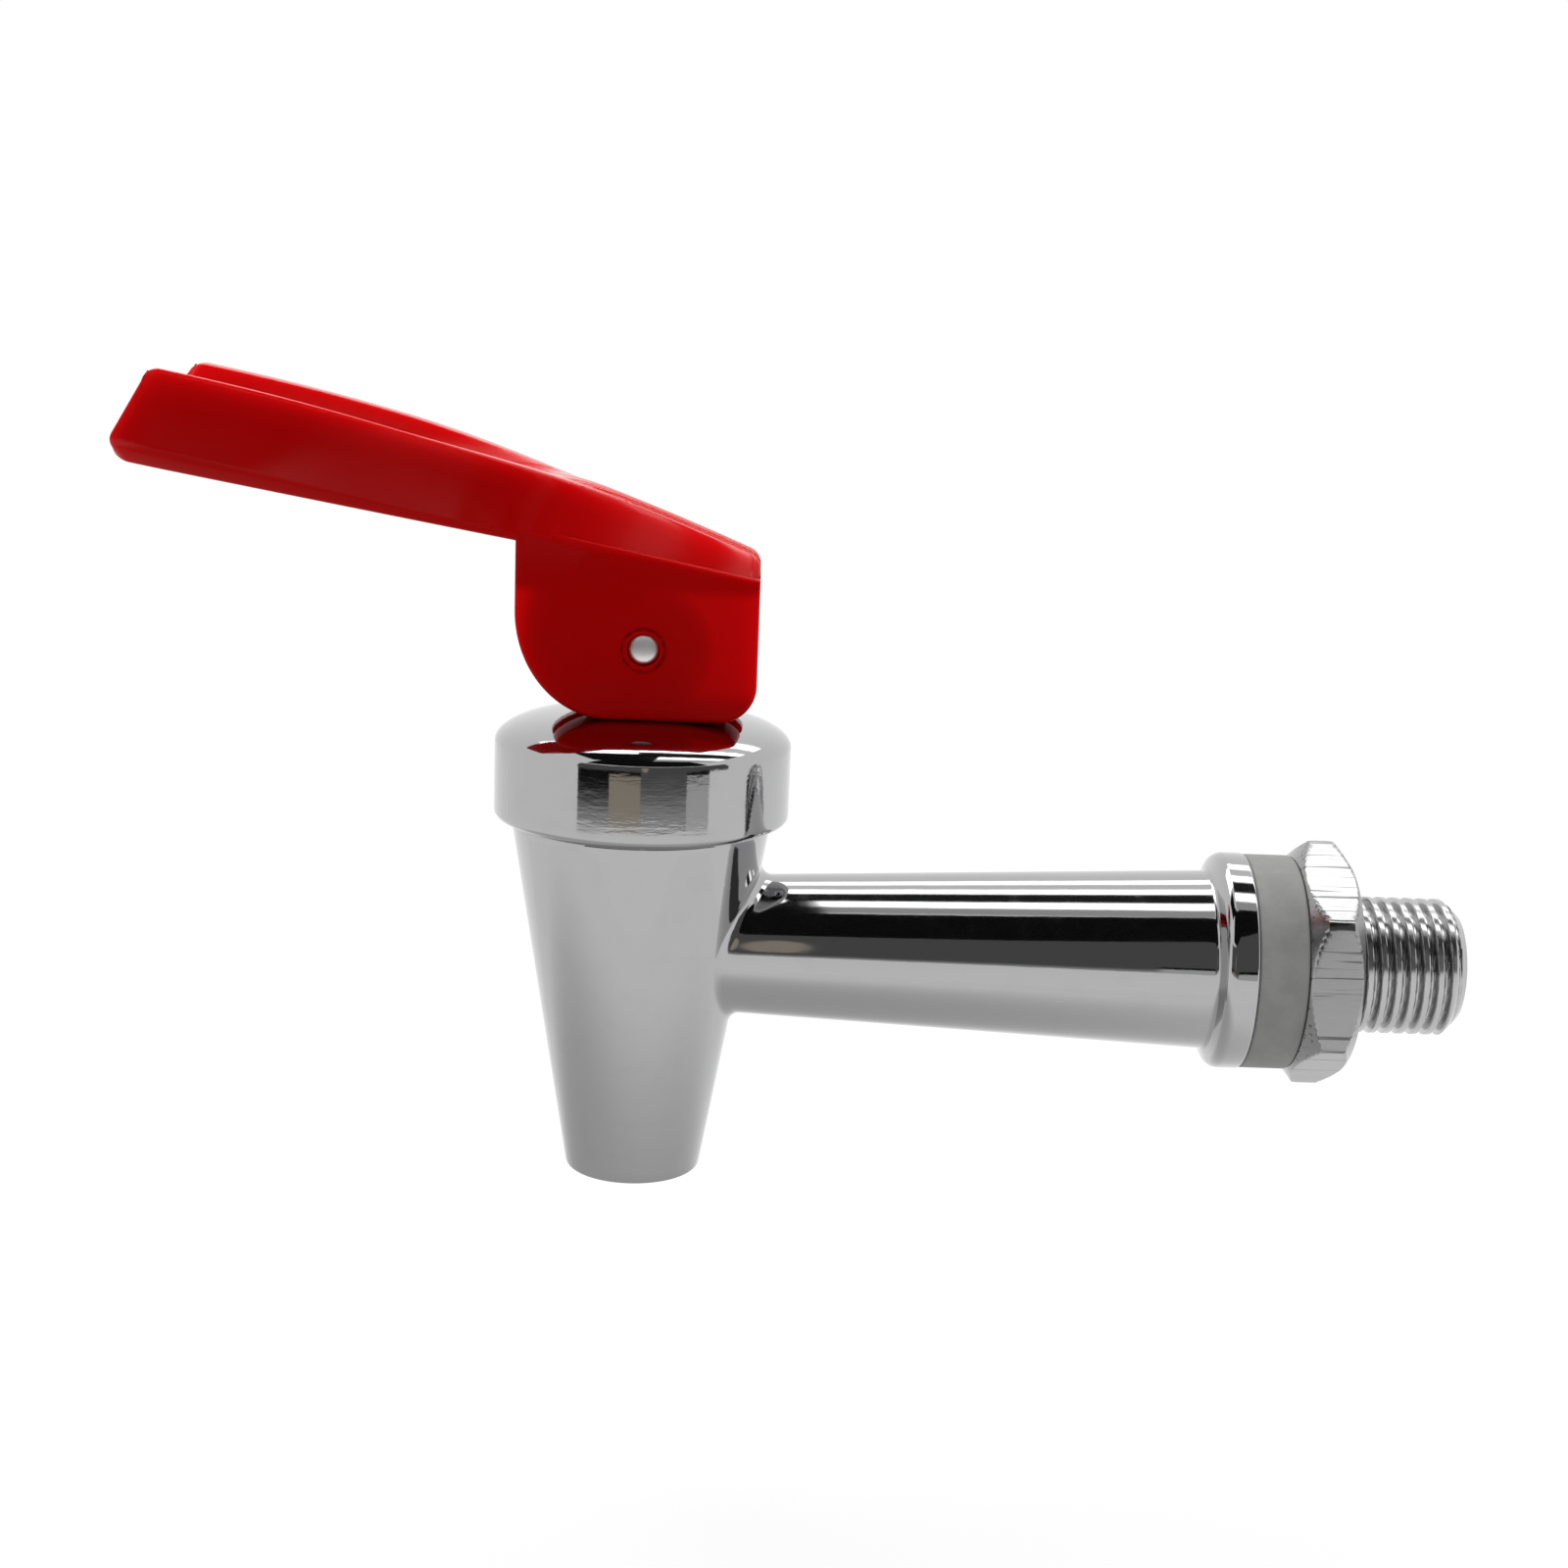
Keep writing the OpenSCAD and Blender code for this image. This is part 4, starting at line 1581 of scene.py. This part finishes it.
@dataclass
class ValveParts:
    """The pieces of the valve, whose solids are right as they are."""

    palette: Palette
    nodes: Mapping[str, bpy.types.Object]
    lift: float = 1.754
    spring_span: Point2 = (-0.4, 16.6)
    cup_span: Point2 = (-4.02, 17.4)

    def shortening(
        self, name: str, node: str, body: Body, span: Point2
    ) -> bpy.types.Object:
        """Copies a node as a piece that hangs from a body; it is not shortened as the stem lifts.

        Args:
            name: The new piece's name.
            node: The node that it replaces.
            body: The body that carries its top.
            span: The heights at which the stem and the body hold it.

        Returns:
            The piece, not yet dressed.
        """
        thing = linked(name, self.nodes[node].data.copy())
        tidy_mesh(thing, 34.0)
        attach(thing, body.value)
        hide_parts(node)
        keep = 1.0 - self.lift / (span[1] - span[0])
        span[1] * MM
        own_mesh(thing)
        return thing

    def build(self) -> list[bpy.types.Object]:
        """Dresses the stem, the spring, its washer and the seat cup.

        Returns:
            The finished pieces.
        """
        spring = self.shortening(
            "closing_spring", "compression_spring", Body.REST, self.spring_span
        )
        cup = self.shortening("valve_cup", "seat_cup", Body.TAP, self.cup_span)
        return [
            dressed(self.nodes["valve_stem"], self.palette.stainless),
            dressed(spring, self.palette.wire),
            dressed(self.nodes["spring_washer"], self.palette.slip),
            dressed(cup, self.palette.seat),
        ]


@dataclass
class Studio:
    """Camera, white surroundings, lamps and the dark cards that chrome mirrors."""

    azimuth: float = -1.17
    elevation: float = 11.51
    roll: float = 2.25
    distance: float = 227.93
    target: tuple[float, float, float] = (13.46 + SPOUT_X, 0.0, 15.80)
    focal: float = 2445.25 / 1600.0 * 36.0
    floor_z: float = -52.0

    def camera(self) -> bpy.types.Object:
        """Places the camera at the photograph's viewpoint.

        Returns:
            The camera.
        """
        az, el, roll = (math.radians(v) for v in (self.azimuth, self.elevation, self.roll))
        back = Vector((math.sin(az) * math.cos(el), -math.cos(az) * math.cos(el), math.sin(el)))
        right = (-back).cross(Vector((0, 0, 1))).normalized()
        up = right.cross(-back)
        side = math.cos(roll) * right + math.sin(roll) * up
        over = -math.sin(roll) * right + math.cos(roll) * up
        lens = bpy.data.cameras.new("camera")
        lens.lens = self.focal
        lens.sensor_width = 36.0
        lens.clip_start = 0.005
        lens.clip_end = 20.0
        thing = linked("camera", lens)
        turn = Matrix((side, over, back)).transposed().to_4x4()
        spot = (Vector(self.target) + back * self.distance) * MM
        thing.matrix_world = Matrix.Translation(spot) @ turn
        bpy.context.scene.camera = thing
        return thing

    def white(self, name: str, bounce: float, keep: float = 0.2) -> bpy.types.Material:
        """Mixes a floor finish that shows white, with the faucet's own shadow on it.

        Args:
            name: The material's name.
            bounce: Shade of the light that it throws back.
            keep: Share of real shading that stays visible near the faucet.

        Returns:
            The material.
        """
        material = bpy.data.materials.new(name)
        kit = NodeKit.blank(material)
        seen = self.seen(kit)
        x, y, _ = kit.axes(kit.coordinates())
        near = 1.0 - ((x * x + y * y) ** 0.5).ramp(0.15, 0.45)
        colour = kit.blend(seen, grey(bounce), grey(1.0))
        matte = kit.node("ShaderNodeBsdfDiffuse", None, {"Color": colour})
        bright = kit.node("ShaderNodeEmission", None, {"Color": grey(1.0), "Strength": 1.0})
        share = seen * (1.0 - near * keep)
        mixed = kit.node("ShaderNodeMixShader", None, {0: share, 1: matte, 2: bright})
        kit.node("ShaderNodeOutputMaterial", None, {"Surface": mixed})
        return material

    @staticmethod
    def seen(kit: NodeKit) -> Wire:
        """Tells whether a ray comes from the camera, from gloss or through glass.

        Args:
            kit: The node kit of the floor or of the world.

        Returns:
            1 for such a ray, else 0.
        """
        camera = kit.node("ShaderNodeLightPath", output="Is Camera Ray")
        outs = camera.socket.node.outputs
        gloss, glass = (Wire(kit, outs[f"Is {ray} Ray"]) for ray in ("Glossy", "Transmission"))
        return (camera + gloss + glass).least(1.0)

    def world(self, level: float = 0.4, zenith: float = 0.65) -> None:
        """Sets the light from all round; the camera and gloss see plain white.

        Args:
            level: Strength of the light from the horizon.
            zenith: What is added to it straight above.
        """
        world = bpy.data.worlds.new("studio")
        bpy.context.scene.world = world
        kit = NodeKit.blank(world)
        seen = self.seen(kit)
        up = kit.axes(kit.node("ShaderNodeTexCoord", output="Generated"))[2]
        strength = (up.most(0.0) * zenith + level) * (1.0 - seen) + seen
        back = kit.node("ShaderNodeBackground", None, {"Color": grey(1.0), "Strength": strength})
        kit.node("ShaderNodeOutputWorld", None, {"Surface": back})

    def floor(self, half: float = 4000.0) -> None:
        """Lays the pale floor.

        Args:
            half: Half of its side, in millimetres.
        """
        skin = Skin("floor")
        corners = [(-half, -half), (half, -half), (half, half), (-half, half)]
        skin.cap(np.array([(x, y, self.floor_z) for x, y in corners]))
        dressed(skin.build(), self.white("pale_floor", 0.6))

    def card(self, name: str, points: Any, shade: float | Paint) -> None:
        """Sets up a card that only gloss can see.

        Args:
            name: The card's name.
            points: A grid of points, in millimetres.
            shade: Its brightness, or the paint that gives its colour.
        """
        skin = Skin(name)
        skin.grid(np.array(points), wrap=False)
        material = bpy.data.materials.new(name)
        kit = NodeKit.blank(material)
        colour = shade(kit) if callable(shade) else grey(shade)
        flat = kit.node("ShaderNodeEmission", None, {"Color": colour})
        kit.node("ShaderNodeOutputMaterial", None, {"Surface": flat})
        thing = dressed(skin.build(), material)
        for ray in ("camera", "diffuse", "transmission", "volume_scatter", "shadow"):
            setattr(thing, f"visible_{ray}", False)

    def arc(self, centre: Point2, radius: float, swing: Point2, heights: Point2) -> np.ndarray:
        """Points of an upright curved card.

        Args:
            centre: Its axis in the floor plan.
            radius: Its radius.
            swing: First and last angle from the camera's side, in degrees.
            heights: Its lower and upper edge.

        Returns:
            A grid of points.
        """
        a = np.radians(np.linspace(*swing, 33))
        x, y = centre[0] + radius * np.sin(a), centre[1] - radius * np.cos(a)
        return np.array([np.column_stack([x, y, np.full_like(x, h)]) for h in heights])

    def overhead(self, across: Point2, angles: Point2, height: float) -> np.ndarray:
        """Points of a level card above the faucet.

        Args:
            across: Its ends along the shank.
            angles: The angles above the front horizon that it spans, in degrees.
            height: How high it hangs.

        Returns:
            A grid of points.
        """
        depths = (-height / math.tan(math.radians(a)) for a in angles)
        return np.array([[(x, y, height) for x in across] for y in depths])

    @staticmethod
    def rising(low: float, high: float, foot: float, head: float) -> Paint:
        """Mixes paint that goes from one brightness at its foot to another at its head.

        Args:
            low: The brightness at the foot.
            high: The brightness at the head.
            foot: The foot's height, in millimetres.
            head: The head's height, in millimetres.

        Returns:
            The paint.
        """

        def paint(kit: NodeKit) -> Wire:
            """Blends by height."""
            z = kit.axes(kit.coordinates())[2]
            return kit.blend(z.ramp(foot * MM, head * MM), grey(low), grey(high))

        return paint

    @staticmethod
    def pool(middle: Point2, size: Point2, inner: Tint, outer: Tint, flat: bool) -> Paint:
        """Mixes paint with a soft oval spot.

        Args:
            middle: The spot's middle, in millimetres.
            size: Its half axes, in millimetres.
            inner: The spot's colour.
            outer: The colour round it.
            flat: True on a level card, False on one that stands along x.

        Returns:
            The paint.
        """

        def paint(kit: NodeKit) -> Wire:
            """Blends by the distance from the oval's middle.

            Args:
                kit: The card's node kit.

            Returns:
                The colour.
            """
            x, y, z = kit.axes(kit.coordinates())
            u = (x - middle[0] * MM) / (size[0] * MM)
            v = ((y if flat else z) - middle[1] * MM) / (size[1] * MM)
            return kit.blend((u * u + v * v).ramp(0.0 if flat else 0.5, 0.8), inner, outer)

        return paint

    def cards(self) -> None:
        """Sets up the cards: a wall in front, a tall one beyond it, some above, and one below that
        is a painted shadow on the floor's reflection.
        """
        black, haze = 0.006, 0.11
        beige = (0.41, 0.36, 0.295, 1.0)
        plain = self.pool((0, 0), (1e6, 1e6), beige, beige, True)
        wall = (
            ("left", (-44.5, -21.2), (-5.6, 5.0), self.rising(0.4, black, -5.4, 0.6)),
            ("stripe", (-21.2, 1.0), (-5.6, 2.0), plain),
            ("stripe_top", (-21.2, 1.0), (2.0, 5.0), black),
            ("mid", (1.0, 34.0), (-5.6, 5.0), self.rising(0.42, haze, -5.4, 1.5)),
            ("right", (34.0, 51.0), (-5.6, 1.4), 0.6),
            ("right_top", (34.0, 51.0), (1.4, 5.0), black),
            ("haze", (-44.5, 66.0), (5.0, 56.0), haze),
        )
        for name, swing, heights, shade in wall:
            self.card(f"card_wall_{name}", self.arc((SPOUT_X, 0.0), 100.0, swing, heights), shade)
        spot = self.pool((-51.2, 20.0), (5.4, 22.0), beige, grey(haze), False)
        self.card("card_spot", self.arc((SPOUT_X, 0.0), 99.0, (0.5, 8.0), (5.0, 44.0)), spot)
        self.card("card_front", self.arc((-35.0, 0.0), 320.0, (-46, 52), (171.0, 765.0)), black)
        for name, across, angles, shade in (
            ("grey", (-75.0, 420.0), (68.8, 77.9), 0.52),
            ("flag", (-75.0, 420.0), (90.8, 104.1), 0.02),
        ):
            self.card(f"card_over_{name}", self.overhead(across, angles, 515.0), shade)
        shield = [[(x, y, 120.0) for x in (-118.0, -45.0)] for y in (-60.0, 4.0)]
        self.card("card_over_cap", shield, black)
        # Painted shadow: a grey pool just above the floor, seen only in gloss, that darkens the
        # floor's reflection under the faucet.
        under = self.pool((-75.0, -5.0), (130.0, 85.0), grey(0.6), grey(1.0), True)
        sheet = [[(x, y, -51.0) for x in (-205.0, 55.0)] for y in (-90.0, 80.0)]
        self.card("card_painted_floor_shadow", sheet, under)

    def softboxes(self, height: float = 520.0) -> None:
        """Hangs the softboxes, each by the angles above the front horizon that it spans.

        Args:
            height: How high they hang, in millimetres.
        """
        for name, across, angles, radiance in (
            ("softbox_band", (-75.0, 420.0), (79.5, 89.2), 2.4),
            ("softbox_line", (-75.0, 420.0), (106.0, 114.8), 3.2),
            ("softbox_back", (-75.0, 420.0), (126.0, 137.0), 1.7),
            ("softbox_cap", (-420.0, -77.0), (99.0, 130.0), 2.8),
        ):
            near, far = self.overhead(across, angles, height)
            width, depth, _ = far[1] - near[0]
            spot = 0.5 * (near[0] + far[1])
            light = bpy.data.lights.new(name, "AREA")
            light.shape = "RECTANGLE"
            light.size, light.size_y = width * MM, depth * MM
            light.energy = radiance * math.pi * width * depth * MM * MM
            thing = linked(name, light)
            thing.location = Vector(spot) * MM
            aim = Vector((spot[0], spot[1] + 1e-3, 0.0)) * MM - thing.location
            thing.rotation_euler = aim.to_track_quat("-Z", "Y").to_euler()

    def build(self) -> None:
        """Sets up the whole studio."""
        bpy.context.scene.view_settings.view_transform = "Standard"
        self.camera()
        self.world()
        self.floor()
        self.cards()
        self.softboxes()


def main() -> None:
    """Loads the frame, builds every piece and logs each one's face count."""
    logging.basicConfig(level=logging.INFO, format="%(name)s: %(message)s")
    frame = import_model()
    Studio().build()
    palette = Palette.mixed()
    made: list[bpy.types.Object] = [
        TapBody(palette).build(),
        ShankThread(palette).build(),
        Bonnet(palette).build(),
        Lever(palette).build(),
        PivotPin(palette).build(),
        *WallClamp(palette).build(),
        *ValveParts(palette, frame["nodes"]).build(),
    ]
    for thing in made:
        LOG.info("%s: %d faces", thing.name, len(thing.data.polygons))


if __name__ == "__main__":
    main()
